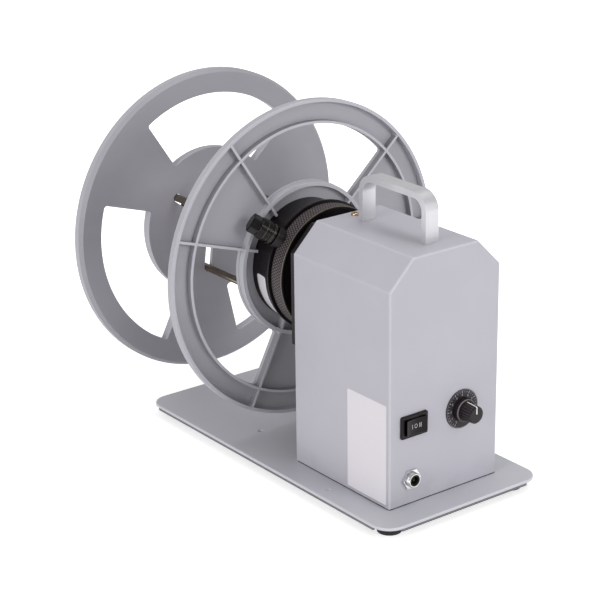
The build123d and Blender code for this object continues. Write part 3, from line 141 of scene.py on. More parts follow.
# The stage, in metres and degrees. A tilt of 90 degrees looks level.
FLOOR_HALF = 6.0
FLOOR_DROP = 0.0002
FLOOR_FADE = (0.2, 0.8)
AIM = (0.0, 0.0, 0.13)
LAMPS = {
    "left": {"place": (-2.0, -0.5, 0.75), "size": 0.9, "power": 14.0},
    "front": {"place": (0.5, -2.1, 0.9), "size": 0.9, "power": 15.0},
    "top": {"place": (0.4, 0.0, 2.0), "size": 1.2, "power": 9.5},
}
WORLD_LIGHT = 0.5
CAMERA_AT = (-0.85034, -1.10298, 0.62916)
CAMERA_HEADING = -37.02
CAMERA_TILT = 69.83
CAMERA_ROLL = -0.77
CAMERA_LENS = 115.653
CAMERA_SENSOR = 36.0


def from_face(y):
    """A distance from the control face, in mm, as a place in the part's frame, in metres."""
    return (y + FACE_Y) * MM


def spot(x, y, z):
    """A place whose y is counted from the control face, as a point of the frame, in mm."""
    return (x, y + FACE_Y, z)


# ---------------------------------------------------------------- settings
def colour(name, text, value):
    return bpy.props.FloatVectorProperty(
        name=name, description=text, subtype="COLOR", size=3, min=0.0, max=1.0, default=value)


def length(name, text, value):
    return bpy.props.FloatProperty(name=name, description=text, unit="LENGTH", default=value)


def srgb(r, g, b):
    """Linear colour of an 8-bit screen colour."""
    def channel(v):
        v /= 255.0
        return v / 12.92 if v <= 0.04045 else ((v + 0.055) / 1.055) ** 2.4
    return (channel(r), channel(g), channel(b))


def shade(base, factor):
    """A colour made lighter or darker."""
    return tuple(min(1.0, v * factor) for v in base)


class RewinderColours(bpy.types.PropertyGroup):
    housing: colour("Housing", "Powder coat of the housing", srgb(191, 189, 198))
    plate: colour("Base plate", "Powder coat of the base plate", srgb(194, 194, 201))
    flange: colour("Outer flange", "Moulded plastic of the outer flange", srgb(158, 157, 164))
    # Painted light: the inner flange has the same plastic as the outer one, given a paler copy of its
    # colour because it is lit more.
    near: colour("Inner flange", "Moulded plastic of the inner flange", srgb(172, 171, 178))
    black: colour("Black metal", "Black finish of the chuck", srgb(21, 15, 18))
    handle: colour("Handle", "Bare aluminium of the handle", srgb(214, 213, 217))
    label: colour("Stickers", "Bare white stickers", srgb(232, 228, 234))
    print_white: colour("Print", "Pointer of the speed knob", srgb(235, 235, 235))


class RewinderSizes(bpy.types.PropertyGroup):
    knurl_pitch: length("Knurl pitch", "Half the spacing of the knurl's points", 1.2 * MM)
    knurl_depth: length("Knurl depth", "Depth of the knurl's diamonds", 0.3 * MM)
    edge_round: length("Edge rounding", "Small rounding on the edges of the parts", 0.25 * MM)


# ---------------------------------------------------------------- shader maths
class Sock:
    """One shader socket. Sums and comparisons on it add Math nodes to its tree."""

    def __init__(self, tree, socket):
        self.tree = tree
        self.socket = socket

    def _math(self, operation, *values):
        return self.tree.node("ShaderNodeMath", {"operation": operation}, *values)

    def __add__(self, other):
        return self._math("ADD", self, other)

    __radd__ = __add__

    def __sub__(self, other):
        return self._math("SUBTRACT", self, other)

    def __rsub__(self, other):
        return self._math("SUBTRACT", other, self)

    def __mul__(self, other):
        return self._math("MULTIPLY", self, other)

    __rmul__ = __mul__

    def __truediv__(self, other):
        return self._math("DIVIDE", self, other)

    def __gt__(self, other):
        return self._math("GREATER_THAN", self, other)

    def __lt__(self, other):
        return self._math("LESS_THAN", self, other)

    def absolute(self):
        return self._math("ABSOLUTE", self)

    def sine(self):
        return self._math("SINE", self)

    def smaller(self, other):
        return self._math("MINIMUM", self, other)

    def larger(self, other):
        return self._math("MAXIMUM", self, other)

    def fraction(self):
        return self._math("FRACT", self)

    def root(self):
        return self._math("SQRT", self)

    def angle(self, other):
        return self._math("ARCTAN2", self, other)

    def between(self, low, high):
        """1 between two values, 0 elsewhere."""
        return (self > low) * (self < high)

    def ramp(self, low, high):
        """0 below low, 1 above high, smooth between."""
        return self.tree.node(
            "ShaderNodeMapRange", {"interpolation_type": "SMOOTHSTEP"}, self, low, high, 0.0, 1.0)

    def scaled(self, factors):
        """A vector times three numbers."""
        return self.tree.node("ShaderNodeVectorMath", {"operation": "MULTIPLY"}, self, factors)


class Shader:
    """Node tree of one material."""

    def __init__(self, name):
        self.material = bpy.data.materials.new(name)
        self.material.use_nodes = True
        self.nodes = self.material.node_tree.nodes
        self.links = self.material.node_tree.links
        self.nodes.clear()
        self.surface = self.nodes.new("ShaderNodeBsdfPrincipled")
        output = self.nodes.new("ShaderNodeOutputMaterial")
        self.links.new(self.surface.outputs["BSDF"], output.inputs["Surface"])

    def node(self, kind, settings=None, *values, out=None, **named):
        """Add a node: its settings are set first, then its sockets by order or by name."""
        new = self.nodes.new(kind)
        for key, value in (settings or {}).items():
            setattr(new, key, value)
        places = [s for s in new.inputs if s.enabled]
        for socket, value in zip(places, values):
            self.feed(socket, value)
        for key, value in named.items():
            self.feed(new.inputs[key.replace("_", " ")], value)
        if out:
            return Sock(self, new.outputs[out])
        return Sock(self, next(s for s in new.outputs if s.enabled))

    def feed(self, socket, value):
        """Link a socket to another one, or set its value."""
        if isinstance(value, Sock):
            self.links.new(value.socket, socket)
            return
        if socket.type == "RGBA" and len(value) == 3:
            value = (*value, 1.0)
        socket.default_value = value

    def set(self, **named):
        """Set sockets of the main shader."""
        for key, value in named.items():
            self.feed(self.surface.inputs[key.replace("_", " ")], value)

    def place(self):
        return self.node("ShaderNodeTexCoord", out="Object")

    def split(self, vector):
        """The three parts of a vector."""
        parts = self.nodes.new("ShaderNodeSeparateXYZ")
        self.feed(parts.inputs[0], vector)
        return [Sock(self, part) for part in parts.outputs]

    def xyz(self):
        """The three coordinates of a surface point, in the part's frame, in metres."""
        return self.split(self.place())

    def round_axis(self, axis_x, axis_z):
        """Distance from an axis along y, the x and z from it, and y; the axis is given in mm."""
        x, y, z = self.xyz()
        x = x - axis_x * MM
        z = z - axis_z * MM
        return (x * x + z * z).root(), x, z, y

    def facing_y(self):
        """How far a surface faces along the shaft, from 0 to 1."""
        normal = self.node("ShaderNodeNewGeometry", out="True Normal")
        return self.split(normal)[1].absolute()

    def noise(self, scale, detail=3.0, vector=None):
        """Cloudy noise from 0 to 1, at the surface point or at another vector."""
        return self.node("ShaderNodeTexNoise", None, Vector=vector or self.place(),
                         Scale=scale, Detail=detail, Roughness=0.55)

    def streaks(self, scales, detail):
        """Noise that is drawn out by three scales."""
        return self.node("ShaderNodeTexNoise", None, Vector=self.place().scaled(scales),
                         Scale=1.0, Detail=detail)

    def mix(self, factor, a, b):
        """Mix two colours."""
        return self.node("ShaderNodeMix", {"data_type": "RGBA"}, factor, a, b)

    def bump(self, height, depth):
        """Raise the surface by a height from 0 to 1 times a depth in mm."""
        self.set(Normal=self.node("ShaderNodeBump", None, Distance=depth * MM, Height=height))


# ---------------------------------------------------------------- materials
def housing_edges(x, y, z):
    """1 along the folds of the housing and round its front, 0 elsewhere: where the coat gets a painted
    highlight.
    """
    reach = 1.3
    side = x.absolute()
    corner = (HOUSE_HALF + HOUSE_SHOULDER) * MM
    out = (side - HOUSE_HALF * MM).larger(z - HOUSE_TOP * MM)
    out = out.larger((side + z - corner) * math.sqrt(0.5))
    front = (out > -reach * MM) * (y < from_face(1.2))
    folds = None
    for across, up in ((HOUSE_HALF, HOUSE_SHOULDER), (HOUSE_TOP_HALF, HOUSE_TOP)):
        near_x = side - across * MM
        near_z = z - up * MM
        fold = 1.0 - (near_x * near_x + near_z * near_z).root().ramp(0.5 * MM, reach * MM)
        folds = fold if folds is None else folds.larger(fold)
    return front.larger(folds * 0.7)


def orange_peel(s):
    """The fine waves of a powder coat."""
    s.bump(s.noise(1800.0, 2.0) + 0.4 * s.noise(540.0, 1.0), 0.02)


def housing_coat(name, base):
    """Powder coat: fine orange peel, faint cloudiness, a painted highlight along the folds and round
    the front, and a little darkening in patches low down.
    """
    s = Shader(name)
    x, y, z = s.xyz()
    cloud = s.noise(14.0, 4.0)
    speck = s.noise(2600.0, 1.0)
    # Darker in patches towards the bottom of the housing.
    low_dark_patches = (1.0 - z.ramp(8.0 * MM, 30.0 * MM)) * s.noise(60.0, 5.0).ramp(0.35, 0.7)
    tone = s.mix(cloud.ramp(0.3, 0.7), shade(base, 0.975), shade(base, 1.02))
    tone = s.mix(speck.ramp(0.62, 0.72) * 0.10, tone, shade(base, 0.8))
    tone = s.mix(low_dark_patches * 0.25, tone, shade(base, 0.55))
    # Painted highlight: the folds and the front edge are made paler, as light catching them.
    tone = s.mix(housing_edges(x, y, z) * 0.35, tone, shade(base, 1.3))
    s.set(Base_Color=tone, Roughness=0.40 + 0.08 * cloud)
    orange_peel(s)
    return s.material


def plate_coat(name, base):
    """Powder coat of the plate, with painted shade on its lip under a painted highlight along its edge.
    """
    lip_highlight_band = (8.0 * MM, 9.97 * MM)
    s = Shader(name)
    z = s.xyz()[2]
    cloud = s.noise(14.0, 4.0)
    smear = s.noise(5.0, 4.0, vector=s.place().scaled((1.0, 0.5, 1.0)))
    tone = s.mix(cloud.ramp(0.3, 0.7), shade(base, 0.97), shade(base, 1.02))
    tone = s.mix(smear.ramp(0.45, 0.7) * 0.3, tone, shade(base, 0.9))
    # Painted highlight: a pale band along the top of the lip.
    tone = s.mix(z.between(*lip_highlight_band) * 0.6, tone, shade(base, 1.35))
    # Painted shade: the lip below that band is darkened.
    tone = s.mix((z < lip_highlight_band[0]) * 0.85, tone, shade(base, 0.16))
    s.set(Base_Color=tone, Roughness=0.32 + 0.1 * cloud)
    orange_peel(s)
    return s.material


def flow_marks(s, base, radius):
    """Flow marks of a moulding, and its tone with faint rings round the shaft."""
    flow = s.noise(9.0, 3.0, vector=s.place().scaled((1.0, 1.0, 2.5)))
    rings = ((radius * 420.0).sine() * 0.5 + 0.5) * 0.04
    return flow, s.mix((flow + rings).ramp(0.3, 0.75), shade(base, 0.96), shade(base, 1.03))


def scuffed(s, tone, base):
    """A tone with patches of light scuffs."""
    scuff = s.noise(240.0, 5.0).ramp(0.66, 0.74) * s.noise(22.0, 2.0).ramp(0.5, 0.7)
    return s.mix(scuff * 0.3, tone, shade(base, 1.25))


def flange_plastic(name, base, rib_tops, wall_share, rib_sides=None):
    """Moulded flange: painted highlights make its walls and the tops of its ribs paler than its faces,
    and painted shade darkens the sides of its ribs when their range is given.

    One range holds the y of the ribs' tops, the other the y of the rib sides to darken.
    """
    s = Shader(name)
    radius, _, _, y = s.round_axis(0.0, SHAFT_UP)
    flow, tone = flow_marks(s, base, radius)
    wall = 1.0 - s.facing_y().ramp(0.25, 0.8)
    # Painted highlight on the walls, which face across the shaft.
    tone = s.mix(wall * wall_share, tone, shade(base, 1.45))
    if rib_sides:
        # Painted shade on the sides of the ribs, between the hub ring and the rim.
        field = radius.between(FLANGE_FIELD[0] * MM, FLANGE_FIELD[1] * MM)
        sides = wall * y.between(from_face(rib_sides[0]), from_face(rib_sides[1])) * field
        tone = s.mix(sides * 0.7, tone, shade(base, 0.4))
    # Painted highlight on the tops of the ribs.
    tops = y.between(from_face(rib_tops[0]), from_face(rib_tops[1]))
    tone = s.mix(tops * 0.6, tone, shade(base, 1.5))
    s.set(Base_Color=scuffed(s, tone, base), Roughness=0.42 + 0.12 * flow)
    s.bump(s.noise(2200.0, 2.0), 0.02)
    return s.material


def moulded(name, base, rough, depth, shine):
    """Moulded plastic: spark-eroded grain, flow marks and slight fading."""
    s = Shader(name)
    radius = s.round_axis(0.0, SHAFT_UP)[0]
    flow, tone = flow_marks(s, base, radius)
    s.set(Base_Color=scuffed(s, tone, base), Roughness=rough + 0.12 * flow,
          Specular_IOR_Level=shine)
    s.bump(s.noise(2200.0, 2.0), depth)
    return s.material


def knurl_metal(name, base, pitch):
    """Knurled band: painted shade in the grooves between paler points, which are worn and carry a
    painted highlight.
    """
    s = Shader(name)
    _, x, z, y = s.round_axis(0.0, SHAFT_UP)
    turn = z.angle(x) / (2 * math.pi)
    count, rows, start, end = knurl_layout(pitch)
    u = (turn + 1.0) * count
    v = (y - start) / (end - start) * rows

    def from_groove(t):
        """0 in a groove, 1 midway between two; the 40 keeps the sum above zero."""
        return ((t + 40.0).fraction() - 0.5).absolute() * 2.0

    high = from_groove(u + v / 2.0).smaller(from_groove(u - v / 2.0)).ramp(0.1, 0.6)
    worn = s.noise(90.0, 3.0)
    # Painted shade in the grooves and painted highlight on the points, which are also worn paler.
    tone = s.mix(high, shade(base, 0.08), shade(base, 1.25))
    tone = s.mix(worn.ramp(0.4, 0.8) * 0.3, tone, shade(base, 0.7))
    s.set(Base_Color=tone, Metallic=0.2, Roughness=0.42 + 0.1 * worn, Specular_IOR_Level=0.3)
    s.bump(high, 0.04)
    return s.material


def black_metal(name, base):
    """Black anodised metal with faint turning marks and a little dust."""
    s = Shader(name)
    turning = s.streaks((30.0, 5200.0, 30.0), 2.0)
    dust = s.noise(500.0, 4.0).ramp(0.62, 0.8)
    tone = s.mix(dust * 0.25, base, shade(base, 3.0))
    s.set(Base_Color=tone, Metallic=0.2, Roughness=0.34 + 0.16 * turning, Specular_IOR_Level=0.35)
    s.bump(turning, 0.012)
    return s.material


def bare_metal(name, base, rough, along, metallic=1.0):
    """Bare metal with fine lines, drawn out by the three scales of along."""
    s = Shader(name)
    lines = s.streaks(along, 3.0)
    stain = s.noise(35.0, 4.0)
    tone = s.mix(stain.ramp(0.35, 0.75), shade(base, 0.93), base)
    tone = s.mix(lines.ramp(0.55, 0.75) * 0.35, tone, shade(base, 0.8))
    s.set(Base_Color=tone, Metallic=metallic, Roughness=rough + 0.18 * lines)
    s.bump(lines, 0.01)
    return s.material


def fluted_black(name, base):
    """Black moulding of the speed knob, with a painted highlight in stripes along the flutes round its
    grip.
    """
    s = Shader(name)
    radius, x, z, y = s.round_axis(*DIAL_AT)
    flute_highlight = (z.angle(x) * float(FLUTES)).sine() * 0.5 + 0.5
    grip = radius.between(GRIP_R[0] * MM, GRIP_R[1] * MM)
    grip = grip * y.between(from_face(GRIP_Y[0]), from_face(GRIP_Y[1]))
    fine = s.noise(900.0, 3.0)
    # Painted highlight: pale stripes on the flutes of the grip.
    tone = s.mix(grip * flute_highlight.ramp(0.35, 0.9) * 0.8, base, shade(base, 5.0))
    tone = s.mix(fine.ramp(0.55, 0.8) * 0.2, tone, shade(base, 2.5))
    s.set(Base_Color=tone, Roughness=0.34 + 0.12 * fine, Specular_IOR_Level=0.3)
    s.bump(fine, 0.008)
    return s.material


def inlet_chrome(name, base):
    """Bright plating of the power inlet, with painted shade inside its hole, over its pin too."""
    s = Shader(name)
    # Painted shade: the hole and its pin are made near black and matt.
    bore_shade = s.round_axis(*JACK_AT)[0] < JACK_BORE_R * MM
    fine = s.noise(500.0, 3.0)
    tone = s.mix(fine.ramp(0.4, 0.7) * 0.3, base, shade(base, 0.85))
    s.set(Base_Color=s.mix(bore_shade, tone, (0.006, 0.006, 0.006)), Metallic=1.0 - bore_shade,
          Roughness=0.1 + 0.1 * fine + bore_shade * 0.5)
    s.bump(fine, 0.01)
    return s.material


def rubber(name, base):
    """Matt rubber with a chalky bloom."""
    s = Shader(name)
    fine = s.noise(1500.0, 3.0)
    chalk = s.noise(90.0, 4.0).ramp(0.5, 0.8)
    s.set(Base_Color=s.mix(chalk * 0.3, base, shade(base, 2.4)), Roughness=0.75 + 0.1 * fine)
    s.bump(fine, 0.05)
    return s.material


def gloss(name, base):
    """Shiny moulded plastic with faint handling marks."""
    s = Shader(name)
    smear = s.noise(160.0, 4.0)
    s.set(Base_Color=s.mix(smear.ramp(0.5, 0.8) * 0.3, base, shade(base, 1.6)),
          Roughness=0.2 + 0.15 * smear.ramp(0.4, 0.9), Specular_IOR_Level=0.2)
    s.bump(s.noise(900.0, 1.0), 0.006)
    return s.material


def paper(name, base):
    """Sticker: smooth coated paper, a little yellowed in patches."""
    s = Shader(name)
    fibre = s.noise(700.0, 4.0)
    yellow = s.noise(30.0, 3.0).ramp(0.4, 0.8)
    s.set(Base_Color=s.mix(yellow * 0.35, base, shade(base, 0.93)), Roughness=0.48 + 0.1 * fibre)
    s.bump(fibre, 0.01)
    return s.material


def ink(name, base):
    """Print that is worn in fine patches."""
    s = Shader(name)
    worn = s.noise(900.0, 3.0)
    s.set(Base_Color=s.mix(worn.ramp(0.5, 0.9) * 0.3, base, shade(base, 0.7)),
          Roughness=0.5 + 0.1 * worn)
    return s.material


def sheet_zinc(name, base):
    """Zinc-plated sheet with spangle and a faint yellow tint."""
    s = Shader(name)
    cells = s.node("ShaderNodeTexVoronoi", None, Scale=140.0)
    tint = s.noise(18.0, 3.0)
    tone = s.mix(cells * 6.0, shade(base, 0.9), base)
    tone = s.mix(tint.ramp(0.45, 0.75) * 0.4, tone, (0.62, 0.58, 0.40))
    s.set(Base_Color=tone, Metallic=0.9, Roughness=0.35 + 0.15 * tint)
    s.bump(s.noise(400.0, 2.0), 0.02)
    return s.material


def board_finish(name, base):
    """Solder mask with fine tracks showing through."""
    s = Shader(name)
    grid = s.node("ShaderNodeTexBrick", {"offset": 0.35}, Vector=s.place(), Scale=120.0,
                  Color1=shade(base, 1.3), Color2=shade(base, 0.8), Mortar=shade(base, 1.8))
    s.set(Base_Color=s.mix(0.5, grid, base), Roughness=0.3 + 0.1 * s.noise(300.0))
    s.bump(s.noise(600.0), 0.02)
    return s.material


MATERIALS = {}


def finish(kind, name, base, **settings):
    """Make a material of one kind and keep it under its name."""
    MATERIALS[name] = kind(name, tuple(base), **settings)


def metal(name, base, rough, along, **settings):
    """Make a bare metal and keep it under its name."""
    finish(bare_metal, name, base, rough=rough, along=along, **settings)


def make_materials(c, knurl_pitch):
    """One finish for each material slot of the record, and the extra ones of this scene."""
    finish(housing_coat, "housing_paint", c.housing)
    finish(plate_coat, "plate_paint", c.plate)
    finish(flange_plastic, "grey_plastic", c.flange, rib_tops=FAR_RIB_TOP_HIGHLIGHT, wall_share=0.8)
    # The inner flange's plastic is a paler copy of the outer one's, as painted light.
    finish(flange_plastic, "near_plastic", c.near, rib_tops=NEAR_RIB_TOP_HIGHLIGHT, wall_share=0.3,
           rib_sides=NEAR_RIB_SIDE_SHADE)
    finish(black_metal, "black_aluminium", c.black)
    finish(moulded, "black_plastic", shade(c.black, 1.1), rough=0.38, depth=0.01, shine=0.25)
    finish(moulded, "dial_grey", srgb(46, 41, 45), rough=0.45, depth=0.008, shine=0.3)
    finish(gloss, "gloss_black", shade(c.black, 0.5))
    finish(fluted_black, "fluted_black", srgb(28, 22, 25))
    finish(knurl_metal, "knurl_metal", srgb(98, 89, 91), pitch=knurl_pitch)
    finish(rubber, "rubber", srgb(30, 29, 30))
    finish(rubber, "spider_rubber", srgb(150, 30, 26))
    # Near-black; the painted shadow line round the foot of the housing uses it.
    finish(rubber, "dark_hole", srgb(8, 8, 8))
    metal("chrome", srgb(225, 225, 228), 0.08, (300.0, 300.0, 300.0))
    metal("aluminium", c.handle, 0.3, (2600.0, 40.0, 40.0), metallic=0.55)
    metal("steel", srgb(150, 138, 124), 0.16, (200.0, 8.0, 200.0))
    metal("screw_steel", srgb(190, 190, 192), 0.25, (90.0, 90.0, 90.0))
    metal("brass", srgb(205, 170, 95), 0.25, (90.0, 1800.0, 90.0))
    metal("yellow_zinc", srgb(206, 184, 152), 0.18, (400.0, 400.0, 400.0))
    # Pale metal for the line along the adjuster ring's front edge, and for the painted highlights round
    # the lock knob.
    metal("worn_edge", srgb(122, 114, 100), 0.3, (90.0, 90.0, 90.0), metallic=0.5)
    finish(inlet_chrome, "inlet_chrome", srgb(226, 222, 214))
    finish(sheet_zinc, "zinc_steel", srgb(190, 190, 186))
    finish(board_finish, "board_green", srgb(24, 92, 58))
    finish(paper, "sticker", c.label)
    finish(ink, "white_ink", c.print_white)
    finish(ink, "pale_ink", srgb(186, 182, 188))
    finish(ink, "grey_ink", srgb(104, 98, 102))


# ---------------------------------------------------------------- mesh helpers
def add_piece(name, mesh, body, material, smooth=True):
    """Put a mesh in the scene with its finish, on the body that it rides on."""
    piece = bpy.data.objects.new(name, mesh)
    bpy.context.scene.collection.objects.link(piece)
    mesh.materials.append(MATERIALS[material])
    for polygon in mesh.polygons:
        polygon.use_smooth = smooth
    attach(piece, body)


def mesh_of(name, verts, faces):
    """A mesh from points and faces."""
    mesh = bpy.data.meshes.new(name)
    mesh.from_pydata([tuple(v) for v in verts], [], faces)
    mesh.validate()
    mesh.update()
    return mesh


def fix_normals(mesh):
    """Turn all faces outwards."""
    made = bmesh.new()
    made.from_mesh(mesh)
    bmesh.ops.recalc_face_normals(made, faces=made.faces)
    made.to_mesh(mesh)
    made.free()


def turn_y(profile, steps, shape=None):
    """Points and faces of a profile of (radius, y) turned about the Y axis, from +X to +Z.

    shape(angle, radius, y) may return a changed radius.
    """
    verts = []
    for i in range(steps):
        a = math.radians(360.0 * i / steps)
        for r, y in profile:
            reach = shape(a, r, y) if shape else r
            verts.append((reach * math.cos(a), y, reach * math.sin(a)))
    n = len(profile)
    faces = []
    for i in range(steps):
        j = (i + 1) % steps
        for k in range(n - 1):
            faces.append((i * n + k, i * n + k + 1, j * n + k + 1, j * n + k))
    return verts, faces


def moved(verts, x=0.0, z=0.0):
    return [(v[0] + x, v[1], v[2] + z) for v in verts]


def ring_piece(name, profile, steps, axis, body, material):
    """A ring round an axis along y at (x, z): an open profile of (radius, y) in mm, closed here."""
    closed = [(r * MM, from_face(y)) for r, y in (*profile, profile[0])]
    verts, faces = turn_y(closed, steps)
    mesh = mesh_of(name, moved(verts, x=axis[0] * MM, z=axis[1] * MM), faces)
    fix_normals(mesh)
    add_piece(name, mesh, body, material, smooth=False)


def sheet(name, parts, closed=False):
    """Mesh of thin solids that lie on surfaces.

    Each part is (rows, place, lift): rows of (u, v) spots in mm, and place(u, v, lift),
    which lays a spot on the surface, lift mm above it. A closed part joins its last row
    to its first.
    """
    sunk = -0.04
    verts, faces = [], []
    for rows, place, lift in parts:
        n, m = len(rows), len(rows[0])
        base = len(verts)
        for height in (lift, sunk):
            verts += [Vector(place(u, v, height)) * MM for spots in rows for u, v in spots]

        def at(i, k, top):
            return base + (0 if top else n * m) + (i % n) * m + k

        for i in range(n if closed else n - 1):
            for k in range(m - 1):
                faces.append((at(i, k, 1), at(i, k + 1, 1), at(i + 1, k + 1, 1), at(i + 1, k, 1)))
                faces.append((at(i, k, 0), at(i + 1, k, 0), at(i + 1, k + 1, 0), at(i, k + 1, 0)))
            for k, flip in ((0, 1), (m - 1, 0)):
                side = (at(i, k, 1), at(i, k, 0), at(i + 1, k, 0), at(i + 1, k, 1))
                faces.append(side[::-1] if flip else side)
        if not closed:
            last = n - 1
            for k in range(m - 1):
                faces.append((at(0, k, 1), at(0, k, 0), at(0, k + 1, 0), at(0, k + 1, 1)))
                faces.append((at(last, k, 1), at(last, k + 1, 1), at(last, k + 1, 0), at(last, k, 0)))
    mesh = mesh_of(name, verts, faces)
    fix_normals(mesh)
    return mesh


def round_rows(width, height, corner, steps, u=0.0, v=0.0):
    """Rows of spots that fill a rectangle with rounded corners, whose middle is at (u, v)."""
    gaps = 6
    marks = set(k / steps for k in range(steps + 1))
    for turn in range(0, 91, 15):
        mark = corner / width * (1 - math.cos(math.radians(turn)))
        marks |= {mark, 1 - mark}
    rows = []
    for mark in sorted(marks):
        inside = min(mark, 1 - mark) * width
        short = 0.0
        if inside < corner:
            short = corner - math.sqrt(max(0.0, corner ** 2 - (corner - inside) ** 2))
        half = height / 2 - short
        across = u + (mark - 0.5) * width
        rows.append([(across, v + half * (2 * j / gaps - 1)) for j in range(gaps + 1)])
    return rows


def ring_rows(inner, outer, stretch, steps=40):
    """Rows of spots round a ring that is stretched upwards."""
    rows = []
    for i in range(steps):
        a = 2 * math.pi * i / steps
        radii = (inner, (inner + outer) / 2, outer)
        rows.append([(r * math.cos(a), r * stretch * math.sin(a)) for r in radii])
    return rows


def word_mesh(name, words, size, depth):
    """One mesh of short words, each (text, x, z) in mm, raised from the XZ plane."""
    font_share = 1.4
    bold_share = 0.012
    verts, faces = [], []
    for text, x, z in words:
        curve = bpy.data.curves.new("word", "FONT")
        curve.body = text
        curve.size = size * font_share
        curve.align_x = "CENTER"
        curve.align_y = "CENTER"
        curve.extrude = depth / 2
        curve.offset = size * bold_share
        holder = bpy.data.objects.new("word", curve)
        bpy.context.scene.collection.objects.link(holder)
        graph = bpy.context.evaluated_depsgraph_get()
        flat = bpy.data.meshes.new_from_object(holder.evaluated_get(graph))
        start = len(verts)
        verts += [((p.co.x + x) * MM, -p.co.z * MM, (p.co.y + z) * MM) for p in flat.vertices]
        faces += [tuple(start + k for k in f.vertices) for f in flat.polygons]
        bpy.data.objects.remove(holder)
        bpy.data.curves.remove(curve)
        bpy.data.meshes.remove(flat)
    mesh = mesh_of(name, verts, faces)
    fix_normals(mesh)
    return mesh


def arc_through(a, b, c):
    """Centre and radius of the circle through three points."""
    (ax, ay), (bx, by), (cx, cy) = a, b, c
    d = 2 * (ax * (by - cy) + bx * (cy - ay) + cx * (ay - by))
    sa, sb, sc = ax * ax + ay * ay, bx * bx + by * by, cx * cx + cy * cy
    x = (sa * (by - cy) + sb * (cy - ay) + sc * (ay - by)) / d
    y = (sa * (cx - bx) + sb * (ax - cx) + sc * (bx - ax)) / d
    return x, y, math.hypot(ax - x, ay - y)


def knurl_layout(pitch):
    """Points round the band, points along it, and the y where it starts and ends, in metres."""
    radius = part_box("adjuster_ring")[1][0]
    start = from_face(RING_FRONT + KNURL_MARGIN)
    end = from_face(RING_FRONT + KNURL_L - KNURL_MARGIN)
    count = round(2 * math.pi * radius / (2 * pitch))
    return count, round((end - start) / (KNURL_STRETCH * pitch)), start, end


def soften_node(name, width):
    """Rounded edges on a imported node, whose faces are first joined up."""
    node = frame["nodes"][name]
    weld = node.modifiers.new("weld", "WELD")
    weld.merge_threshold = 0.002 * MM
    flat = node.modifiers.new("flat", "DECIMATE")
    flat.decimate_type = "DISSOLVE"
    flat.angle_limit = math.radians(0.6)
    bevel = node.modifiers.new("edge", "BEVEL")
    bevel.width = width
    bevel.segments = 2
    bevel.limit_method = "ANGLE"
    bevel.angle_limit = math.radians(35.0)
    even = node.modifiers.new("even", "WEIGHTED_NORMAL")
    even.weight = 80
    for polygon in node.data.polygons:
        polygon.use_smooth = True


# ---------------------------------------------------------------- operators
# Nodes whose finish differs from that of their slot.
FINISHES = {
    "near_flange": "near_plastic",
    "lock_knob": "gloss_black",
    "top_screw": "yellow_zinc",
    "dc_jack": "inlet_chrome",
    "speed_knob": "fluted_black",
}
# Each node's share of the edge rounding.
SOFT_NODES = {
    "near_flange": 1.4,
    "far_flange": 1.4,
    "carry_handle": 1.6,
    "lock_knob": 1.0,
}


class Dress:
    """Shared by the operators of this scene."""
    bl_options = {"REGISTER"}


class REWINDER_OT_frame(Dress, bpy.types.Operator):
    """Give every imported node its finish"""
    bl_idname = "rewinder.frame"
    bl_label = "Finish the packed parts"

    def execute(self, context):
        size = context.scene.rewinder_sizes
        make_materials(context.scene.rewinder_colours, size.knurl_pitch)
        slots = {s["node"]: s["material_slot"] for s in frame["record"]["subparts"]}
        for name, node in frame["nodes"].items():
            node.data.materials.clear()
            node.data.materials.append(MATERIALS[FINISHES.get(name, slots[name])])
        for name, share in SOFT_NODES.items():
            soften_node(name, size.edge_round * share)
        return {"FINISHED"}


class REWINDER_OT_knurl(Dress, bpy.types.Operator):
    """Add the knurled band and the bright edge of the adjuster ring"""
    bl_idname = "rewinder.knurl"
    bl_label = "Knurled band"

    def execute(self, context):
        size = context.scene.rewinder_sizes
        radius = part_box("adjuster_ring")[1][0]
        count, rows, start, end = knurl_layout(size.knurl_pitch)
        facets = 4
        sink = 0.1 * MM
        fade = 0.3 * MM
        steepness = 1.6
        gaps = rows * facets
        profile = [(radius, start + (end - start) * k / gaps) for k in range(gaps + 1)]

        def diamond(a, r, y):
            u = a / (2 * math.pi) * count
            v = (y - start) / (end - start) * rows
            p = abs((u + v / 2) % 1.0 - 0.5) * 2
            q = abs((u - v / 2) % 1.0 - 0.5) * 2
            edge = max(0.0, min(1.0, (y - start) / fade, (end - y) / fade))
            return r - sink + size.knurl_depth * min(1.0, steepness * min(p, q)) * edge

        verts, faces = turn_y(profile, count * facets, diamond)
        mesh = mesh_of("knurl_band", moved(verts, z=SHAFT_UP * MM), faces)
        add_piece("knurl_band", mesh, "adjuster", "knurl_metal")
        edge = [(r, RING_FRONT + y) for r, y in RING_EDGE]
        ring_piece("ring_edge", edge, 160, (0.0, SHAFT_UP), "adjuster", "worn_edge")
        return {"FINISHED"}


class REWINDER_OT_stickers(Dress, bpy.types.Operator):
    """Add the bare white stickers on the housing side and on the drum"""
    bl_idname = "rewinder.stickers"
    bl_label = "Stickers"

    def execute(self, context):
        def on_side(u, v, lift):
            return spot(-HOUSE_HALF - lift, SIDE_STICKER_AT[0] + u, SIDE_STICKER_AT[1] + v)

        rows = round_rows(*SIDE_STICKER, steps=12)
        mesh = sheet("side_sticker", [(rows, on_side, 0.12)])
        add_piece("side_sticker", mesh, "frame", "sticker", smooth=False)

        arc_r, arc_y, arc = arc_through(*DRUM_ARC)

        def on_drum(u, v, lift):
            y = DRUM_STICKER_Y + v
            r = arc_r - math.sqrt(arc ** 2 - (y - arc_y) ** 2) + lift
            a = math.radians(DRUM_STICKER_TURN) + u / DRUM_STICKER_R
            return spot(r * math.cos(a), y, SHAFT_UP + r * math.sin(a))

        rows = round_rows(*DRUM_STICKER, steps=40)
        mesh = sheet("drum_sticker", [(rows, on_drum, 0.1)])
        add_piece("drum_sticker", mesh, "chuck", "sticker")
        return {"FINISHED"}


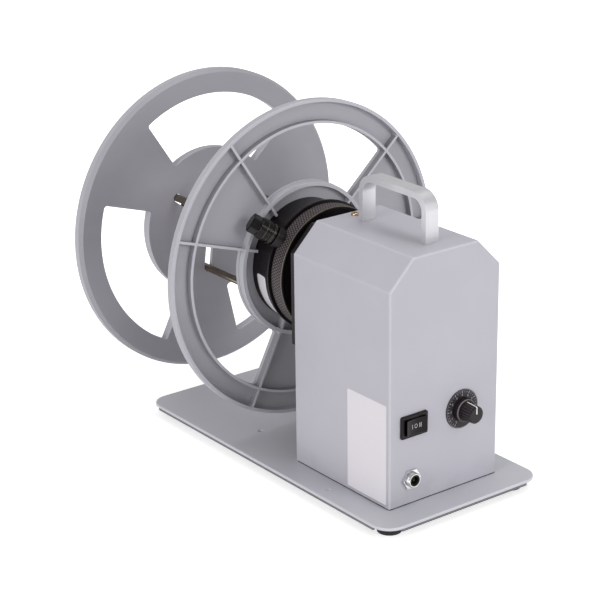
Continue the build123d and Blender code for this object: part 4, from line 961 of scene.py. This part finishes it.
class REWINDER_OT_seam(Dress, bpy.types.Operator):
    """Add a dark strip round the foot of the housing, a painted shadow line where it stands on the
    plate
    """
    bl_idname = "rewinder.seam"
    bl_label = "Seam under the housing"

    def execute(self, context):
        low_x, high_x = COVER_LOW[0] + HOUSE_ROUND, COVER_HIGH[0] - HOUSE_ROUND
        low_y, high_y = COVER_LOW[1] + HOUSE_ROUND, COVER_HIGH[1] - HOUSE_ROUND
        corners = ((high_x, low_y, -90), (high_x, high_y, 0), (low_x, high_y, 90), (low_x, low_y, 180))
        outline = []
        for x, y, start in corners:
            for turn in range(start, start + 91, 15):
                across, along = math.cos(math.radians(turn)), math.sin(math.radians(turn))
                outline.append((x + HOUSE_ROUND * across, y + HOUSE_ROUND * along, across, along))

        def on_outline(u, v, lift):
            x, y, across, along = outline[u]
            return (x + across * lift, y + along * lift, PLATE_TOP + v)

        rows = [[(k, v) for v in (0.02, 0.3, 0.6)] for k in range(len(outline))]
        # Painted shadow: a near-black strip just outside the housing, at the plate.
        mesh = sheet("housing_seam_shadow", [(rows, on_outline, 0.14)], closed=True)
        add_piece("housing_seam_shadow", mesh, "frame", "dark_hole", smooth=False)
        return {"FINISHED"}


class REWINDER_OT_lock_lines(Dress, bpy.types.Operator):
    """Add pale lines round the lock knob, painted highlights on its edges and ridges"""
    bl_idname = "rewinder.lock_lines"
    bl_label = "Edge lines of the lock knob"

    def execute(self, context):
        turn, lean = math.radians(LOCK_TURN), math.radians(LOCK_LEAN)
        out = math.cos(lean)
        along = Vector((out * math.cos(turn), math.sin(lean), out * math.sin(turn)))
        foot_r, foot_y = LOCK_FOOT
        foot = spot(foot_r * math.cos(turn), foot_y, SHAFT_UP + foot_r * math.sin(turn))
        verts, faces = [], []
        # Each thin pale ring is a painted highlight on the knob's edges and ridges.
        for radius, up in LOCK_HIGHLIGHTS:
            line = [((radius + r) * MM, (up + y) * MM) for r, y in (*LOCK_HIGHLIGHT_SECTION, LOCK_HIGHLIGHT_SECTION[0])]
            more, quads = turn_y(line, 48)
            faces += [tuple(len(verts) + k for k in quad) for quad in quads]
            verts += more
        mesh = mesh_of("lock_lines", verts, faces)
        fix_normals(mesh)
        spin = Vector((0, 1, 0)).rotation_difference(along).to_matrix().to_4x4()
        mesh.transform(Matrix.Translation(Vector(foot) * MM) @ spin)
        add_piece("lock_lines", mesh, "lock", "worn_edge", smooth=False)
        return {"FINISHED"}


class REWINDER_OT_switch_marks(Dress, bpy.types.Operator):
    """Add the marks I, O and II on the rocker"""
    bl_idname = "rewinder.switch_marks"
    bl_label = "Switch marks"

    def execute(self, context):
        _, arc_y, arc = arc_through(*PADDLE_ARC)
        lift = 0.05

        def on_paddle(u, v, lift):
            return spot(ROCKER_AT[0] + u, arc_y + math.sqrt(arc ** 2 - u ** 2) - lift, ROCKER_AT[1] + v)

        bars = [(round_rows(0.5, 3.5, 0.1, 3, u=x), on_paddle, lift) for x in SWITCH_BARS_X]
        add_piece("switch_bars", sheet("switch_bars", bars), "rocker", "pale_ink")
        ring = ring_rows(inner=1.0, outer=1.4, stretch=1.2)
        mesh = sheet("switch_ring", [(ring, on_paddle, lift)], closed=True)
        add_piece("switch_ring", mesh, "rocker", "pale_ink")
        return {"FINISHED"}


class REWINDER_OT_dial(Dress, bpy.types.Operator):
    """Add the scale of the dial and the pointer of its knob"""
    bl_idname = "rewinder.dial"
    bl_label = "Dial scale and pointer"

    def execute(self, context):
        add_piece("dial_ticks", sheet("dial_ticks", self.ticks()), "frame", "pale_ink", smooth=False)
        add_piece("dial_numbers", self.numbers(), "frame", "pale_ink", smooth=False)
        ring_piece("dial_rim", DIAL_RIM, 96, DIAL_AT, "frame", "grey_ink")
        ring_piece("knob_skirt_ring", SKIRT_RING, 72, DIAL_AT, "dial", "grey_ink")
        add_piece("knob_pointer", self.pointer(), "dial", "white_ink", smooth=False)
        return {"FINISHED"}

    def ticks(self):
        """Parts of the scale: every third tick is a long one."""
        parts = []
        for k in range(31):
            turn = math.radians(DIAL_TURN - 10.0 * k)
            width, height = (0.42, 1.7) if k % 3 == 0 else (0.26, 1.0)

            def tilted(u, v, lift, turn=turn):
                x = u * math.cos(turn) - v * math.sin(turn)
                z = u * math.sin(turn) + v * math.cos(turn)
                return spot(DIAL_AT[0] + x, DIAL_FACE - lift, DIAL_AT[1] + z)

            parts.append((round_rows(width, height, 0.0, 1, v=TICK_R), tilted, 0.05))
        return parts

    def numbers(self):
        """Mesh of the numbers 0 to 10."""
        words = []
        for k in range(11):
            turn = math.radians(DIAL_TURN - 30.0 * k)
            words.append((str(k), -NUMBER_R * math.sin(turn), NUMBER_R * math.cos(turn)))
        mesh = word_mesh("dial_numbers", words, NUMBER_SIZE, 0.06)
        centre = spot(DIAL_AT[0], DIAL_FACE - 0.03, DIAL_AT[1])
        mesh.transform(Matrix.Translation(Vector(centre) * MM))
        return mesh

    def pointer(self):
        """Mesh of the line that runs up the grip of the knob and over its end."""
        half = 0.5

        def on_knob(u, v, lift):
            k = min(int(v), len(POINTER_PATH) - 2)
            (r0, y0), (r1, y1) = POINTER_PATH[k], POINTER_PATH[k + 1]
            r = r0 + (r1 - r0) * (v - k)
            y = y0 + (y1 - y0) * (v - k)
            out_r, out_y = -(y1 - y0), r1 - r0
            size = math.hypot(out_r, out_y)
            return spot(DIAL_AT[0] + u, y + lift * out_y / size, DIAL_AT[1] + r + lift * out_r / size)

        stops = [k / 2 for k in range(2 * len(POINTER_PATH) - 1)]
        rows = [[(u, v) for u in (-half, 0.0, half)] for v in stops]
        return sheet("knob_pointer", [(rows, on_knob, 0.06)])


class REWINDER_OT_inlet(Dress, bpy.types.Operator):
    """Add the thread and the insulator of the power inlet"""
    bl_idname = "rewinder.inlet"
    bl_label = "Power inlet details"

    def execute(self, context):
        inner, root, crest = THREAD_R
        back, first, last, front = THREAD_Y
        thread = [(inner, back)]
        for k in range(THREAD_TURNS):
            y = first - THREAD_PITCH * k
            thread += [(root, y), (crest, y - THREAD_PITCH / 2)]
        thread += [(root, last), (inner, front)]
        ring_piece("inlet_thread", thread, 48, JACK_AT, "frame", "chrome")
        ring_piece("inlet_insulator", INSULATOR, 48, JACK_AT, "frame", "black_plastic")
        return {"FINISHED"}


class REWINDER_OT_stage(Dress, bpy.types.Operator):
    """Make the floor, the lights, the world and the camera"""
    bl_idname = "rewinder.stage"
    bl_label = "Stage"

    def execute(self, context):
        scene = context.scene
        corners = [(-1, -1), (1, -1), (1, 1), (-1, 1)]
        floor = bpy.data.meshes.new("floor")
        floor.from_pydata([(x * FLOOR_HALF, y * FLOOR_HALF, 0) for x, y in corners], [], [(0, 1, 2, 3)])
        floor.materials.append(floor_material())
        ground = bpy.data.objects.new("floor", floor)
        scene.collection.objects.link(ground)
        ground.location = (0, 0, -FLOOR_DROP)
        make_world(scene)
        for name, lamp in LAMPS.items():
            area_light(scene, name, **lamp)
        make_camera(scene)
        scene.view_settings.view_transform = "Standard"
        return {"FINISHED"}


def floor_material():
    """Pale floor: pure white to the camera away from the object, with a soft shadow near it."""
    s = Shader("floor")
    x, y, _ = s.xyz()
    away = (x * x + y * y).root().ramp(*FLOOR_FADE)
    kinds = ("Is Camera Ray", "Is Glossy Ray", "Is Transmission Ray")
    rays = [s.node("ShaderNodeLightPath", out=kind) for kind in kinds]
    seen = rays[0].larger(rays[1]).larger(rays[2])
    glow = seen * (0.6 + 0.4 * away)
    s.set(Base_Color=(0.8, 0.8, 0.8), Roughness=0.9,
          Emission_Color=s.mix(glow, (0.0, 0.0, 0.0), (1.0, 1.0, 1.0)), Emission_Strength=1.0)
    return s.material


def make_world(scene):
    """White to the camera and through clear pieces, dimmer as a light."""
    world = bpy.data.worlds.new("studio")
    scene.world = world
    world.use_nodes = True
    nodes, links = world.node_tree.nodes, world.node_tree.links
    nodes.clear()
    output = nodes.new("ShaderNodeOutputWorld")
    pick = nodes.new("ShaderNodeMixShader")
    for k, strength in enumerate((WORLD_LIGHT, 1.0)):
        sky = nodes.new("ShaderNodeBackground")
        sky.inputs["Color"].default_value = (1.0, 1.0, 1.0, 1.0)
        sky.inputs["Strength"].default_value = strength
        links.new(sky.outputs[0], pick.inputs[k + 1])
    path = nodes.new("ShaderNodeLightPath")
    seen = nodes.new("ShaderNodeMath")
    seen.operation = "MAXIMUM"
    links.new(path.outputs["Is Camera Ray"], seen.inputs[0])
    links.new(path.outputs["Is Transmission Ray"], seen.inputs[1])
    links.new(seen.outputs[0], pick.inputs[0])
    links.new(pick.outputs[0], output.inputs["Surface"])


def area_light(scene, name, place, size, power):
    """A round lamp that points at the middle of the machine."""
    data = bpy.data.lights.new(name, "AREA")
    data.shape = "DISK"
    data.size = size
    data.energy = power
    lamp = bpy.data.objects.new(name, data)
    scene.collection.objects.link(lamp)
    lamp.location = place
    aim = Vector(AIM) - Vector(place)
    lamp.rotation_euler = aim.to_track_quat("-Z", "Y").to_euler()


def make_camera(scene):
    """The camera that was fitted to the photo."""
    data = bpy.data.cameras.new("camera")
    data.sensor_width = CAMERA_SENSOR
    data.lens = CAMERA_LENS
    data.clip_start = 0.05
    data.clip_end = 30.0
    camera = bpy.data.objects.new("camera", data)
    scene.collection.objects.link(camera)
    turn = Matrix.Identity(4)
    for angle, axis in ((CAMERA_HEADING, "Z"), (CAMERA_TILT, "X"), (CAMERA_ROLL, "Z")):
        turn = turn @ Matrix.Rotation(math.radians(angle), 4, axis)
    camera.matrix_world = Matrix.Translation(CAMERA_AT) @ turn
    scene.camera = camera


class REWINDER_PT_panel(bpy.types.Panel):
    """Lists the steps that dress the label rewinder"""
    bl_label = "Label rewinder"
    bl_idname = "REWINDER_PT_panel"
    bl_space_type = "VIEW_3D"
    bl_region_type = "UI"
    bl_category = "Rewinder"

    def draw(self, context):
        layout = self.layout
        for group in (context.scene.rewinder_colours, context.scene.rewinder_sizes):
            for key in group.__annotations__:
                layout.prop(group, key)
        for operator in OPERATORS:
            layout.operator(operator.bl_idname)


OPERATORS = (
    REWINDER_OT_frame,
    REWINDER_OT_knurl,
    REWINDER_OT_stickers,
    REWINDER_OT_seam,
    REWINDER_OT_lock_lines,
    REWINDER_OT_switch_marks,
    REWINDER_OT_dial,
    REWINDER_OT_inlet,
    REWINDER_OT_stage,
)
CLASSES = (RewinderColours, RewinderSizes, *OPERATORS, REWINDER_PT_panel)


def register():
    for cls in CLASSES:
        bpy.utils.register_class(cls)
    bpy.types.Scene.rewinder_colours = bpy.props.PointerProperty(type=RewinderColours)
    bpy.types.Scene.rewinder_sizes = bpy.props.PointerProperty(type=RewinderSizes)


def unregister():
    del bpy.types.Scene.rewinder_sizes
    del bpy.types.Scene.rewinder_colours
    for cls in reversed(CLASSES):
        bpy.utils.unregister_class(cls)


def main():
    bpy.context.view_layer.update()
    register()
    bpy.ops.rewinder.frame()
    bpy.ops.rewinder.knurl()
    bpy.ops.rewinder.stickers()
    bpy.ops.rewinder.seam()
    bpy.ops.rewinder.lock_lines()
    bpy.ops.rewinder.switch_marks()
    bpy.ops.rewinder.dial()
    bpy.ops.rewinder.inlet()
    bpy.ops.rewinder.stage()


if __name__ == "__main__":
    main()
